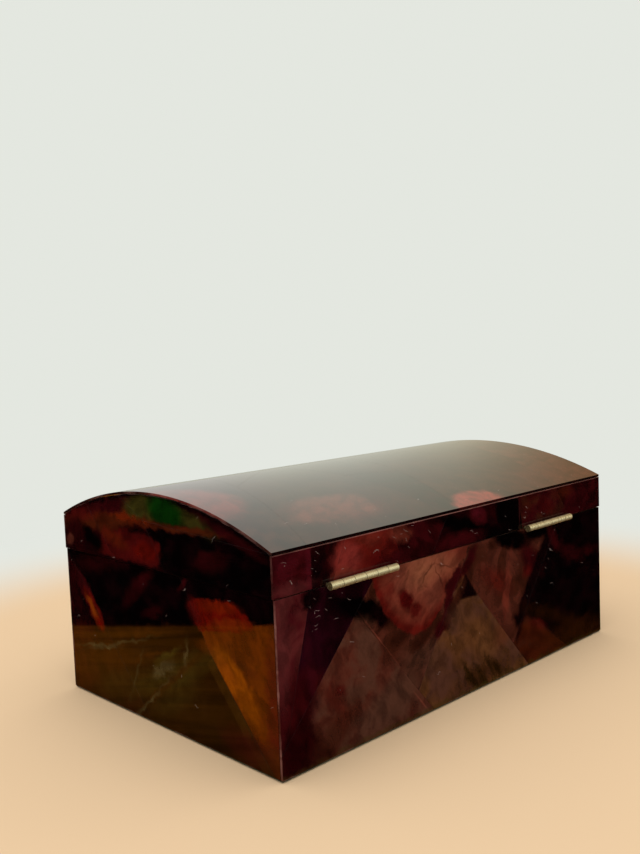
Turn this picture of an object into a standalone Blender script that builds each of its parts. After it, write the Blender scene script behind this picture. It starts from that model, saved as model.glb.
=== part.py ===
"""Coconut shell box: a low oblong box with a shallow arched lid on two brass hinges.

A wooden carcass carries thin polished shell plates outside and cloth linings inside.
Units are metres, +Z is up, +X is the right end seen from the front, and +Y is the hinge side.
The origin is the middle of the underside.
"""

import math

import bmesh
import bpy
from mathutils import Matrix, Vector

# Overall sizes
LENGTH = 0.300
DEPTH = 0.195
SPLIT_HEIGHT = 0.0885
SKIRT_HEIGHT = 0.0225
CROWN_RISE = 0.020
LID_OVERHANG = 0.0008

# Thicknesses
SHELL = 0.0012
BOARD = 0.008
BOTTOM_BOARD = 0.006
CROWN_BOARD = 0.004
LINING = 0.001
BAIZE = 0.0008

# Joints between the pieces
GLUE = 0.0003
SEAM = 0.0003
SEAM_DEPTH = 0.0006
RIM_GAP = 0.0005
RABBET = 0.004
LINING_SETBACK = 0.0006
BAIZE_SETBACK = 0.0003
OVERRUN = 0.002

# Hinges
HINGE_LENGTH = 0.050
LEFT_HINGE_MARGIN = 0.0425
RIGHT_HINGE_MARGIN = 0.0335
KNUCKLES = 6
KNUCKLE_GAP = 0.0003
BARREL_RADIUS = 0.0021
BARREL_STANDOFF = 0.0003
BORE_RADIUS = 0.0011
PIN_RADIUS = 0.0008
LEAF = 0.001
LEAF_WIDTH = 0.008
LEAF_CLEARANCE = 0.0003

# Hinge screws
SCREWS_PER_LEAF = 3
SCREW_END_MARGIN = 0.008
SCREW_LINE = 0.005
SCREW_LENGTH = 0.009
SCREW_HEAD_RADIUS = 0.0018
SCREW_HEAD_EDGE = 0.0002
SCREW_HEAD_DEPTH = 0.001
SCREW_SHANK_RADIUS = 0.0009
SCREW_TIP = 0.0015
SCREW_SLOT_WIDTH = 0.0005
SCREW_SLOT_DEPTH = 0.0004
SCREW_CLEARANCE = 0.0003

# Faceting
ARC_SEGMENTS = 32
BARREL_SEGMENTS = 20
BORE_SEGMENTS = 12
SCREW_SEGMENTS = 12
MERGE_DISTANCE = 0.00001
ROUND_ANGLE = math.radians(35)

# Planes worked out from the sizes
HALF_LENGTH = LENGTH / 2
HALF_DEPTH = DEPTH / 2
LID_HALF_LENGTH = HALF_LENGTH + LID_OVERHANG
SKIN = SHELL + GLUE
CARCASS_HALF_DEPTH = HALF_DEPTH - SKIN
INNER_HALF_DEPTH = CARCASS_HALF_DEPTH - BOARD
END_SHELL_HALF_DEPTH = HALF_DEPTH - SHELL - SEAM
BASE_FOOT = BAIZE + GLUE
BASE_RIM = SPLIT_HEIGHT - RIM_GAP / 2
LID_RIM = SPLIT_HEIGHT + RIM_GAP / 2
FLOOR = BASE_FOOT + BOTTOM_BOARD
EAVE_HEIGHT = SPLIT_HEIGHT + SKIRT_HEIGHT
CREST_HEIGHT = EAVE_HEIGHT + CROWN_RISE
CROWN_RADIUS = (HALF_DEPTH ** 2 + CROWN_RISE ** 2) / (2 * CROWN_RISE)
CROWN_CENTRE = CREST_HEIGHT - CROWN_RADIUS

# Depths of the lid's curved layers below the outside of the crown
UNDER_SHELL = SKIN
UNDER_CROWN_BOARD = UNDER_SHELL + CROWN_BOARD
UNDER_LAYERS = UNDER_CROWN_BOARD + GLUE
UNDER_CEILING = UNDER_LAYERS + LINING

# The hinge pins' axis stands just clear of the back, level with the split
PIN_Y = HALF_DEPTH + BARREL_STANDOFF + BARREL_RADIUS
LEAF_OUTER_Y = PIN_Y - BARREL_RADIUS - KNUCKLE_GAP
LEAF_INNER_Y = LEAF_OUTER_Y - LEAF_WIDTH
SCREW_Y = HALF_DEPTH - SCREW_LINE
HINGE_CENTRES = {
    "left": LEFT_HINGE_MARGIN + HINGE_LENGTH / 2 - HALF_LENGTH,
    "right": HALF_LENGTH - RIGHT_HINGE_MARGIN - HINGE_LENGTH / 2,
}


def along(seam, share):
    """Point at a share of the way along a seam."""
    (u0, v0), (u1, v1) = seam
    return (u0 + (u1 - u0) * share, v0 + (v1 - v0) * share)


# Seams between the plates, as shares of a face. Across, -1 and 1 are the two edges of the face.
# Up a wall, 0 is its foot and 1 its top. On the crown, -1 is the front eave and 1 the back one.
# A share past an edge lets the seam run out over it.
STRIP_TOP_SHARE = (0.84, 1.03)
LONG_SEAM_SHARES = ((1.03, 0.08), (0.51, 1.03))
TIP_SEAM_TOP_SHARE = (-0.02, 1.03)
TRIANGLE_SEAM_SHARES = (along(LONG_SEAM_SHARES, 0.75), (0.225, -0.03))
TIP_SEAM_SHARES = (TIP_SEAM_TOP_SHARE, along(TRIANGLE_SEAM_SHARES, 0.76))
FAN_SEAM_SHARES = (along(TIP_SEAM_SHARES, 0.22), (-0.41, -0.03))
BAND_SEAM_SHARES = ((-0.665, 1.03), along(FAN_SEAM_SHARES, 0.73))
BASE_LONG_WALL_SHARES = (
    LONG_SEAM_SHARES,
    (STRIP_TOP_SHARE, along(LONG_SEAM_SHARES, 0.10)),
    TRIANGLE_SEAM_SHARES,
    TIP_SEAM_SHARES,
    FAN_SEAM_SHARES,
    BAND_SEAM_SHARES,
    (along(BAND_SEAM_SHARES, 0.78), (-0.73, -0.03)),
    ((-0.80, 1.03), (-1.03, 0.42)),
)
LID_LONG_WALL_SHARES = (
    ((0.835, 1.10), (0.835, -0.10)),
    ((0.67, 1.10), (0.75, -0.10)),
    ((0.445, 1.10), (0.385, -0.10)),
    ((0.11, 1.10), (0.235, -0.10)),
    ((-0.20, 1.10), (-0.195, -0.10)),
    ((-0.34, 1.10), (-0.37, -0.10)),
    ((-0.62, 1.10), (-0.74, -0.10)),
)
END_BEND_SHARE = (0.483, 0.568)
BASE_END_WALL_SHARES = (
    ((0.208, 1.03), END_BEND_SHARE),
    (END_BEND_SHARE, (0.98, -0.03)),
    ((-1.03, 1.01), (-0.10, -0.03)),
)
LID_END_CORNER_SHARE = (-0.10, 0.62)
LID_END_WALL_SHARES = (
    ((-0.45, 1.02), LID_END_CORNER_SHARE),
    (LID_END_CORNER_SHARE, (1.03, 0.50)),
    (LID_END_CORNER_SHARE, (0.12, -0.05)),
    ((-0.80, 0.90), (-0.40, -0.05)),
)
CROWN_LONG_SHARES = (
    ((0.86, 1.05), (0.50, -1.05)),
    ((0.14, 1.05), (0.42, -1.05)),
    ((0.06, 1.05), (-0.22, -1.05)),
    ((-0.55, 1.05), (-0.30, -1.05)),
    ((-0.62, 1.05), (-0.93, -1.05)),
)
CROWN_SHARES = CROWN_LONG_SHARES + (
    (along(CROWN_LONG_SHARES[0], 0.40), along(CROWN_LONG_SHARES[1], 0.62)),
    (along(CROWN_LONG_SHARES[1], 0.34), along(CROWN_LONG_SHARES[2], 0.30)),
    (along(CROWN_LONG_SHARES[2], 0.66), along(CROWN_LONG_SHARES[3], 0.45)),
    (along(CROWN_LONG_SHARES[3], 0.60), along(CROWN_LONG_SHARES[4], 0.36)),
    (along(CROWN_LONG_SHARES[4], 0.50), (-1.05, -0.20)),
)

# Finishes: colour, roughness and metallic value
SHELL_BACK = ((0.105, 0.035, 0.025), 0.08, 0.0)
SHELL_END = ((0.060, 0.016, 0.012), 0.08, 0.0)
SHELL_SKIRT = ((0.090, 0.015, 0.018), 0.08, 0.0)
SHELL_CROWN = ((0.070, 0.022, 0.020), 0.07, 0.0)
WOOD = ((0.33, 0.19, 0.10), 0.60, 0.0)
VELVET = ((0.16, 0.015, 0.02), 0.95, 0.0)
FELT = ((0.07, 0.12, 0.05), 0.95, 0.0)
BRASS = ((0.62, 0.50, 0.24), 0.32, 1.0)
DULL_BRASS = ((0.40, 0.31, 0.14), 0.40, 1.0)

# A flat outline lies in its own X and Y and is drawn out along its own Z, which turns onto the axis
AXIS_DIRECTIONS = {"X": Vector((1, 0, 0)), "Y": Vector((0, 1, 0)), "Z": Vector((0, 0, 1))}
AXIS_TURNS = {
    "X": Matrix(((0, 0, 1), (1, 0, 0), (0, 1, 0))),
    "Y": Matrix(((1, 0, 0), (0, 0, -1), (0, 1, 0))),
    "Z": Matrix.Identity(3),
}


def clear_scene():
    """Removes every object of the scene."""
    for item in list(bpy.data.objects):
        bpy.data.objects.remove(item)


def new_collection(name):
    """Adds a collection to the scene."""
    collection = bpy.data.collections.new(name)
    bpy.context.scene.collection.children.link(collection)
    return collection


def paint(item, finish):
    """Gives an object a material of its own."""
    colour, roughness, metallic = finish
    material = bpy.data.materials.new(item.name)
    material.use_nodes = True
    shader = material.node_tree.nodes["Principled BSDF"]
    shader.inputs["Base Color"].default_value = (*colour, 1.0)
    shader.inputs["Roughness"].default_value = roughness
    shader.inputs["Metallic"].default_value = metallic
    item.data.materials.clear()
    item.data.materials.append(material)


def smooth_round(item):
    """Shades the round faces of an object smooth and keeps its real edges sharp."""
    item.data.shade_smooth()
    item.data.set_sharp_from_angle(angle=ROUND_ANGLE)


def mesh_object(name, shape, collection, location=(0, 0, 0)):
    """Makes an object of a bmesh and frees the bmesh."""
    mesh = bpy.data.meshes.new(name)
    shape.to_mesh(mesh)
    shape.free()
    item = bpy.data.objects.new(name, mesh)
    item.location = location
    collection.objects.link(item)
    return item


def closed_mesh(item):
    """Evaluated mesh of an object, welded and with its faces pointing out."""
    bpy.context.view_layer.update()
    evaluated = item.evaluated_get(bpy.context.evaluated_depsgraph_get())
    mesh = bpy.data.meshes.new_from_object(evaluated)
    shape = bmesh.new()
    shape.from_mesh(mesh)
    bmesh.ops.remove_doubles(shape, verts=shape.verts, dist=MERGE_DISTANCE)
    bmesh.ops.recalc_face_normals(shape, faces=shape.faces)
    shape.to_mesh(mesh)
    shape.free()
    return mesh


def box(name, low, high, collection):
    """Makes a box between two corners, with its origin at its middle."""
    low, high = Vector(low), Vector(high)
    shape = bmesh.new()
    bmesh.ops.create_cube(shape, size=1.0, matrix=Matrix.Diagonal((*(high - low), 1.0)))
    return mesh_object(name, shape, collection, (low + high) / 2)


def axis_frame(axis, middle):
    """Frame of a flat outline that is drawn out along an axis, both ways from middle."""
    return Matrix.Translation(AXIS_DIRECTIONS[axis] * middle) @ AXIS_TURNS[axis].to_4x4()


def extruded(name, outlines, low, high, axis, collection):
    """Makes a solid of flat outlines, drawn out along an axis from low to high.

    The outlines hold Y and Z on axis X, X and Z on axis Y, and X and Y on axis Z.
    """
    curve = bpy.data.curves.new(name, "CURVE")
    curve.dimensions = "2D"
    curve.fill_mode = "BOTH"
    curve.extrude = (high - low) / 2
    for outline in outlines:
        spline = curve.splines.new("POLY")
        spline.points.add(len(outline) - 1)
        for point, (across, up) in zip(spline.points, outline):
            point.co = (across, up, 0, 1)
        spline.use_cyclic_u = True
    guide = bpy.data.objects.new(name, curve)
    guide.matrix_world = axis_frame(axis, (low + high) / 2)
    collection.objects.link(guide)
    mesh = closed_mesh(guide)
    bpy.data.objects.remove(guide)
    bpy.data.curves.remove(curve)
    item = bpy.data.objects.new(name, mesh)
    item.matrix_world = axis_frame(axis, (low + high) / 2)
    collection.objects.link(item)
    return item


def turned_mesh(profile, collection):
    """Turns a profile of radii and heights, from its top on the axis to its foot, about Z."""
    shape = bmesh.new()
    corners = [shape.verts.new((radius, 0, height)) for radius, height in profile]
    for upper, lower in zip(corners, corners[1:]):
        shape.edges.new((upper, lower))
    guide = mesh_object("turning", shape, collection)
    modifier = guide.modifiers.new("turning", "SCREW")
    modifier.axis = "Z"
    modifier.steps = SCREW_SEGMENTS
    modifier.render_steps = SCREW_SEGMENTS
    modifier.use_merge_vertices = True
    modifier.merge_threshold = MERGE_DISTANCE
    mesh = closed_mesh(guide)
    bpy.data.objects.remove(guide)
    return mesh


def repeated(name, mesh, places, collection):
    """Makes one object of copies of a mesh, one at each place."""
    shape = bmesh.new()
    for place in places:
        first = len(shape.verts)
        shape.from_mesh(mesh)
        shape.verts.ensure_lookup_table()
        bmesh.ops.transform(shape, matrix=place, verts=shape.verts[first:])
    return mesh_object(name, shape, collection)


def as_cutter(item):
    """Marks an object as a cutter or guide, which isn't a piece of the box."""
    item.display_type = "WIRE"
    item.hide_render = True
    return item


def box_cutter(name, corner_pairs, collection):
    """Makes one cutter of several boxes, each between two corners."""
    shape = bmesh.new()
    for low, high in corner_pairs:
        low, high = Vector(low), Vector(high)
        place = Matrix.Translation((low + high) / 2) @ Matrix.Diagonal((*(high - low), 1.0))
        bmesh.ops.create_cube(shape, size=1.0, matrix=place)
    return as_cutter(mesh_object(name, shape, collection))


def combine(item, other, operation="DIFFERENCE", crossing=False):
    """Cuts an object with another, or joins them. Crossing is for a cutter that crosses itself."""
    modifier = item.modifiers.new(other.name, "BOOLEAN")
    modifier.operation = operation
    modifier.solver = "EXACT"
    modifier.object = other
    modifier.use_self = crossing


def crown_height(y, depth):
    """Height of the arch at y, at a depth below the outside of the crown."""
    return CROWN_CENTRE + math.sqrt((CROWN_RADIUS - depth) ** 2 - y ** 2)


def crown_arc(half_width, depth):
    """Points of the arch from front to back, at a depth below the outside of the crown."""
    radius = CROWN_RADIUS - depth
    half_angle = math.asin(half_width / radius)
    points = []
    for step in range(ARC_SEGMENTS + 1):
        angle = half_angle * (2 * step / ARC_SEGMENTS - 1)
        points.append((radius * math.sin(angle), CROWN_CENTRE + radius * math.cos(angle)))
    return points


def curved_layer(half_width, top_depth, under_depth):
    """Outline of a layer bent over the arch, with upright edges at the front and the back."""
    return crown_arc(half_width, top_depth) + crown_arc(half_width, under_depth)[::-1]


def arched_panel(half_width, foot, depth):
    """Outline of an upright panel with a level foot and a top that follows the arch."""
    return [(-half_width, foot)] + crown_arc(half_width, depth) + [(half_width, foot)]


def level_panel(half_width, foot, top):
    """Outline of an upright panel with a level foot and top."""
    return [(-half_width, foot), (-half_width, top), (half_width, top), (half_width, foot)]


def wall_section(side, outer, inner, foot, top):
    """Section of a long wall. Side is 1 at the back and -1 at the front; top gives the height at y."""
    return [
        (side * outer, foot),
        (side * outer, top(outer)),
        (side * inner, top(inner)),
        (side * inner, foot),
    ]


def long_panel(name, side, outer, thickness, half_length, foot, top, collection):
    """Makes a panel of a long wall, from its outer plane inwards."""
    section = wall_section(side, outer, outer - thickness, foot, top)
    return extruded(name, [section], -half_length, half_length, "X", collection)


def end_panel(name, end, outer, thickness, outline, collection):
    """Makes a panel of an end wall, from its outer plane inwards. End is 1 at the right end."""
    low, high = sorted((end * outer, end * (outer - thickness)))
    return extruded(name, [outline], low, high, "X", collection)


def base_top(_y):
    """Height of the base's rim, the same everywhere."""
    return BASE_RIM


def base_lining_top(_y):
    """Height of the top of the base's wall linings."""
    return BASE_RIM - LINING_SETBACK


def lid_board_top(y):
    """Height of the lid's rails, under the crown board."""
    return crown_height(y, UNDER_LAYERS)


def lid_shell_top(y):
    """Height of the lid's skirt plates, under the crown plates."""
    return crown_height(y, UNDER_SHELL)


def lid_lining_top(y):
    """Height of the lid's wall linings, under the ceiling lining."""
    return crown_height(y, UNDER_CEILING + GLUE)


def carcass(half, names, half_length, foot, top, end_outline, collection, cutters):
    """Makes the two long boards and the two end boards of one half of the box.

    The end boards stand in rabbets at the ends of the long ones.
    """
    front_name, back_name, left_name, right_name = names
    inner_half_length = half_length - BOARD
    corners = []
    for end in (-1, 1):
        for side in (-1, 1):
            xs = sorted((end * (inner_half_length - GLUE), end * (half_length + OVERRUN)))
            ys = sorted((side * (INNER_HALF_DEPTH - OVERRUN), side * (INNER_HALF_DEPTH + RABBET)))
            corners.append(((xs[0], ys[0], foot - OVERRUN), (xs[1], ys[1], CREST_HEIGHT)))
    rabbets = box_cutter(half + "_corner_rabbets", corners, cutters)
    boards = {}
    for name, side in ((front_name, -1), (back_name, 1)):
        board = long_panel(name, side, CARCASS_HALF_DEPTH, BOARD, half_length, foot, top, collection)
        combine(board, rabbets)
        boards[name] = board
    for name, end in ((left_name, -1), (right_name, 1)):
        boards[name] = end_panel(name, end, half_length, BOARD, end_outline, collection)
    for board in boards.values():
        paint(board, WOOD)
    return boards


def base_boards(collection, cutters):
    """Makes the boards of the base and the baize under them, and returns the back board."""
    half_length = HALF_LENGTH - SKIN
    floor_half_length = half_length - BOARD + RABBET
    floor_half_depth = INNER_HALF_DEPTH + RABBET
    ends = level_panel(floor_half_depth - GLUE, BASE_FOOT, BASE_RIM)
    names = ("base_front_board", "base_back_board", "base_left_end_board", "base_right_end_board")
    boards = carcass("base", names, half_length, BASE_FOOT, base_top, ends, collection, cutters)
    rabbet_low = (-floor_half_length, -floor_half_depth, BASE_FOOT - OVERRUN)
    rabbet_high = (floor_half_length, floor_half_depth, FLOOR + GLUE)
    rabbet = box_cutter("base_floor_rabbet", [(rabbet_low, rabbet_high)], cutters)
    for board in boards.values():
        combine(board, rabbet)
    low = (GLUE - floor_half_length, GLUE - floor_half_depth, BASE_FOOT)
    high = (floor_half_length - GLUE, floor_half_depth - GLUE, FLOOR)
    paint(box("base_bottom_board", low, high, collection), WOOD)
    low = (BAIZE_SETBACK - HALF_LENGTH, BAIZE_SETBACK - HALF_DEPTH, 0)
    high = (HALF_LENGTH - BAIZE_SETBACK, HALF_DEPTH - BAIZE_SETBACK, BAIZE)
    paint(box("underside_baize", low, high, collection), FELT)
    return boards["base_back_board"]


def lid_boards(collection, cutters):
    """Makes the boards of the lid and returns the back rail."""
    half_length = LID_HALF_LENGTH - SKIN
    ends = arched_panel(INNER_HALF_DEPTH + RABBET - GLUE, LID_RIM, UNDER_LAYERS)
    names = ("lid_front_rail", "lid_back_rail", "lid_left_arched_end", "lid_right_arched_end")
    boards = carcass("lid", names, half_length, LID_RIM, lid_board_top, ends, collection, cutters)
    layer = curved_layer(CARCASS_HALF_DEPTH, UNDER_SHELL, UNDER_CROWN_BOARD)
    crown = extruded("lid_crown_board", [layer], -half_length, half_length, "X", collection)
    smooth_round(crown)
    paint(crown, WOOD)
    return boards["lid_back_rail"]


def wall_linings(half, inner_half_length, foot, top, end_outline, collection):
    """Lines the four walls of one half of the box."""
    outer_x = inner_half_length - GLUE
    outer_y = INNER_HALF_DEPTH - GLUE
    for wall, side in (("front", -1), ("back", 1)):
        name = half + "_" + wall + "_lining"
        lining = long_panel(name, side, outer_y, LINING, outer_x, foot, top, collection)
        paint(lining, VELVET)
    for wall, end in (("left_end", -1), ("right_end", 1)):
        name = half + "_" + wall + "_lining"
        paint(end_panel(name, end, outer_x, LINING, end_outline, collection), VELVET)


def base_linings(collection):
    """Lines the floor and the walls of the base."""
    inner_half_length = HALF_LENGTH - SKIN - BOARD
    floor_top = FLOOR + GLUE + LINING
    low = (GLUE - inner_half_length, GLUE - INNER_HALF_DEPTH, FLOOR + GLUE)
    high = (inner_half_length - GLUE, INNER_HALF_DEPTH - GLUE, floor_top)
    paint(box("base_floor_lining", low, high, collection), VELVET)
    foot = floor_top + GLUE
    end_half_width = INNER_HALF_DEPTH - LINING - 2 * GLUE
    ends = level_panel(end_half_width, foot, base_lining_top(end_half_width))
    wall_linings("base", inner_half_length, foot, base_lining_top, ends, collection)


def lid_linings(collection):
    """Lines the ceiling and the walls of the lid."""
    inner_half_length = LID_HALF_LENGTH - SKIN - BOARD
    half_length = inner_half_length - GLUE
    layer = curved_layer(INNER_HALF_DEPTH - GLUE, UNDER_LAYERS, UNDER_CEILING)
    ceiling = extruded("lid_ceiling_lining", [layer], -half_length, half_length, "X", collection)
    smooth_round(ceiling)
    paint(ceiling, VELVET)
    foot = LID_RIM + LINING_SETBACK
    end_half_width = INNER_HALF_DEPTH - LINING - 2 * GLUE
    ends = arched_panel(end_half_width, foot, UNDER_CEILING + GLUE)
    wall_linings("lid", inner_half_length, foot, lid_lining_top, ends, collection)


def wall_place(half_width, foot, top, side):
    """Places shares on a wall. Side -1 turns the pattern about, for the opposite wall."""
    def place(across, up):
        return (side * across * half_width, foot + up * (top - foot))
    return place


def crown_place(across, back):
    """Places shares on the crown."""
    return (across * LID_HALF_LENGTH, back * HALF_DEPTH)


def seam_slots(name, seams, place, axis, low, high, cutters):
    """Makes a cutter of thin slots along the seams of a face, from low to high on the axis."""
    shape = bmesh.new()
    for seam in seams:
        start, end = (Vector(place(*point)) for point in seam)
        run = end - start
        centre = Matrix.Translation(((start + end) / 2).to_3d())
        turn = Matrix.Rotation(math.atan2(run.y, run.x), 4, "Z")
        size = Matrix.Diagonal((run.length + SEAM, SEAM, high - low, 1.0))
        bmesh.ops.create_cube(shape, size=1.0, matrix=centre @ turn @ size)
    slots = as_cutter(mesh_object(name, shape, cutters))
    slots.matrix_world = axis_frame(axis, (low + high) / 2)
    return slots


def score_wall(shell, seams, place, axis, side, outer, cutters):
    """Scores the seams between the plates into the outer plane of a wall's shell."""
    low, high = sorted((side * (outer - SEAM_DEPTH), side * (outer + OVERRUN)))
    slots = seam_slots(shell.name + "_seams", seams, place, axis, low, high, cutters)
    combine(shell, slots, crossing=True)


def score_crown(shell, cutters):
    """Scores the seams between the crown plates to an even depth below the arch."""
    slots = seam_slots("lid_crown_shell_seams", CROWN_SHARES, crown_place, "Z",
                       EAVE_HEIGHT - CROWN_RISE, CREST_HEIGHT + CROWN_RISE, cutters)
    layer = curved_layer(HALF_DEPTH + OVERRUN, -OVERRUN, SEAM_DEPTH)
    reach = LID_HALF_LENGTH + OVERRUN
    depth = as_cutter(extruded("lid_crown_seam_depth", [layer], -reach, reach, "X", cutters))
    combine(slots, depth, "INTERSECT", crossing=True)
    combine(shell, slots)


def wall_shells(half, half_length, foot, long_top, end_top, end_outline, long_seams, end_seams,
                long_finish, collection, cutters):
    """Lays shell plates on the four walls of one half of the box and returns the back shell."""
    shells = {}
    for wall, side in (("front", -1), ("back", 1)):
        name = half + "_" + wall + "_shell"
        shell = long_panel(name, side, HALF_DEPTH, SHELL, half_length, foot, long_top, collection)
        place = wall_place(half_length, foot, long_top(HALF_DEPTH), side)
        score_wall(shell, long_seams, place, "Y", side, HALF_DEPTH, cutters)
        paint(shell, long_finish)
        shells[wall] = shell
    for wall, end in (("left_end", -1), ("right_end", 1)):
        name = half + "_" + wall + "_shell"
        shell = end_panel(name, end, half_length, SHELL, end_outline, collection)
        place = wall_place(END_SHELL_HALF_DEPTH, foot, end_top, end)
        score_wall(shell, end_seams, place, "X", end, half_length, cutters)
        paint(shell, SHELL_END)
    return shells["back"]


def base_shells(collection, cutters):
    """Lays the shell plates of the base and returns the back shell."""
    ends = level_panel(END_SHELL_HALF_DEPTH, BASE_FOOT, BASE_RIM)
    return wall_shells("base", HALF_LENGTH, BASE_FOOT, base_top, BASE_RIM, ends,
                       BASE_LONG_WALL_SHARES, BASE_END_WALL_SHARES, SHELL_BACK, collection, cutters)


def lid_shells(collection, cutters):
    """Lays the shell plates of the lid, with the crown plates on top, and returns the back shell."""
    ends = arched_panel(END_SHELL_HALF_DEPTH, LID_RIM, UNDER_SHELL)
    back = wall_shells("lid", LID_HALF_LENGTH, LID_RIM, lid_shell_top, CREST_HEIGHT, ends,
                       LID_LONG_WALL_SHARES, LID_END_WALL_SHARES, SHELL_SKIRT, collection, cutters)
    layer = curved_layer(HALF_DEPTH, 0, SHELL)
    crown = extruded("lid_crown_shell", [layer], -LID_HALF_LENGTH, LID_HALF_LENGTH, "X", collection)
    smooth_round(crown)
    score_crown(crown, cutters)
    paint(crown, SHELL_CROWN)
    return back


def knuckle_outlines(side):
    """Outlines of a knuckle and its neck, and of its bore. Side is 1 on the lid and -1 on the base."""
    near, far = RIM_GAP / 2, RIM_GAP / 2 + LEAF
    root = LEAF_OUTER_Y - LEAF
    start = math.pi - math.asin(near / BARREL_RADIUS)
    end = 3 * math.pi - math.asin(far / BARREL_RADIUS)
    outer = [(root, SPLIT_HEIGHT + side * far), (root, SPLIT_HEIGHT + side * near)]
    for step in range(BARREL_SEGMENTS + 1):
        angle = start + (end - start) * step / BARREL_SEGMENTS
        y = PIN_Y + BARREL_RADIUS * math.cos(angle)
        outer.append((y, SPLIT_HEIGHT + side * BARREL_RADIUS * math.sin(angle)))
    bore = []
    for step in range(BORE_SEGMENTS):
        angle = 2 * math.pi * step / BORE_SEGMENTS
        y = PIN_Y + BORE_RADIUS * math.cos(angle)
        bore.append((y, SPLIT_HEIGHT + BORE_RADIUS * math.sin(angle)))
    return [outer, bore]


def screw_profile(clearance, overrun):
    """Profile of a countersunk screw, its head's face at 0, grown by a clearance for its hole."""
    head = SCREW_HEAD_RADIUS + clearance
    shank = SCREW_SHANK_RADIUS + clearance
    foot = -SCREW_LENGTH - clearance
    return [
        (0, overrun),
        (head, overrun),
        (head, -SCREW_HEAD_EDGE),
        (shank, -SCREW_HEAD_DEPTH),
        (shank, foot + SCREW_TIP),
        (0, foot),
    ]


def screw_places(side, rim, centre_x):
    """Places of the screws of a leaf, head down on the lid."""
    span = HINGE_LENGTH - 2 * SCREW_END_MARGIN
    flip = Matrix.Rotation(math.pi if side > 0 else 0, 4, "X")
    places = []
    for index in range(SCREWS_PER_LEAF):
        x = centre_x + span * (index / (SCREWS_PER_LEAF - 1) - 1 / 2)
        places.append(Matrix.Translation((x, SCREW_Y, rim)) @ flip)
    return places


def leaf_knuckles(name, side, low_x, cutters):
    """Makes the knuckles of one leaf, every other one along the barrel, as one guide object."""
    pitch = HINGE_LENGTH / KNUCKLES
    half_knuckle = (pitch - KNUCKLE_GAP) / 2
    first = 0 if side < 0 else 1
    single = extruded("knuckle", knuckle_outlines(side), -half_knuckle, half_knuckle, "X", cutters)
    smooth_round(single)
    places = []
    for index in range(first, KNUCKLES, 2):
        middle = low_x + (index + 1 / 2) * pitch
        places.append(Matrix.Translation((middle, 0, 0)) @ single.matrix_world)
    knuckles = as_cutter(repeated(name + "_knuckles", single.data, places, cutters))
    bpy.data.objects.remove(single)
    return knuckles


def hinge_leaf(half, hand, side, rim, board, shell, collection, cutters):
    """Makes one leaf, lets it into the board and the shell, and returns its screws' places."""
    centre = HINGE_CENTRES[hand]
    name = hand + "_hinge_" + half + "_leaf"
    low_x, high_x = centre - HINGE_LENGTH / 2, centre + HINGE_LENGTH / 2
    low_z, high_z = sorted((rim, rim + side * LEAF))
    leaf = box(name, (low_x, LEAF_INNER_Y, low_z), (high_x, LEAF_OUTER_Y, high_z), collection)
    combine(leaf, leaf_knuckles(name, side, low_x, cutters), "UNION")

    places = screw_places(side, rim, centre)
    hole = turned_mesh(screw_profile(SCREW_CLEARANCE, OVERRUN), cutters)
    holes = as_cutter(repeated(name + "_screw_holes", hole, places, cutters))
    combine(leaf, holes)
    paint(leaf, BRASS)

    fit = LEAF_CLEARANCE
    mortise_z = sorted((rim - side * OVERRUN, rim + side * (LEAF + fit)))
    mortise_low = (low_x - fit, LEAF_INNER_Y - fit, mortise_z[0])
    mortise_high = (high_x + fit, HALF_DEPTH + OVERRUN, mortise_z[1])
    mortise = box_cutter(name + "_mortise", [(mortise_low, mortise_high)], cutters)
    combine(board, mortise)
    combine(board, holes)
    combine(shell, mortise)
    return places


def hinge_screws(half, hand, side, rim, places, collection, cutters):
    """Makes the screws of one leaf, with a slot across each head."""
    screw_mesh = turned_mesh(screw_profile(0, 0), cutters)
    slot_z = sorted((rim - side * OVERRUN, rim + side * SCREW_SLOT_DEPTH))
    for number, place in enumerate(places, start=1):
        name = hand + "_hinge_" + half + "_screw_" + str(number)
        screw = bpy.data.objects.new(name, screw_mesh.copy())
        screw.matrix_world = place
        collection.objects.link(screw)
        smooth_round(screw)
        x = place.translation.x
        slot_low = (x - SCREW_SLOT_WIDTH / 2, SCREW_Y - 2 * SCREW_HEAD_RADIUS, slot_z[0])
        slot_high = (x + SCREW_SLOT_WIDTH / 2, SCREW_Y + 2 * SCREW_HEAD_RADIUS, slot_z[1])
        combine(screw, box_cutter(screw.name + "_slot", [(slot_low, slot_high)], cutters))
        paint(screw, DULL_BRASS)


def hinge_pin(hand, collection):
    """Makes the pin that runs through all the knuckles of a hinge."""
    shape = bmesh.new()
    bmesh.ops.create_cone(
        shape,
        cap_ends=True,
        segments=BORE_SEGMENTS,
        radius1=PIN_RADIUS,
        radius2=PIN_RADIUS,
        depth=HINGE_LENGTH,
    )
    location = (HINGE_CENTRES[hand], PIN_Y, SPLIT_HEIGHT)
    pin = mesh_object(hand + "_hinge_pin", shape, collection, location)
    pin.rotation_euler = (0, math.pi / 2, 0)
    smooth_round(pin)
    paint(pin, DULL_BRASS)


def hang_on_pin_axis(items, collection):
    """Parents the lid's pieces and their cutters to an empty on the pin axis."""
    axis = bpy.data.objects.new("lid_hinge_axis", None)
    axis.location = (0, PIN_Y, SPLIT_HEIGHT)
    collection.objects.link(axis)
    for item in items:
        item.location -= axis.location
        item.parent = axis


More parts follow.
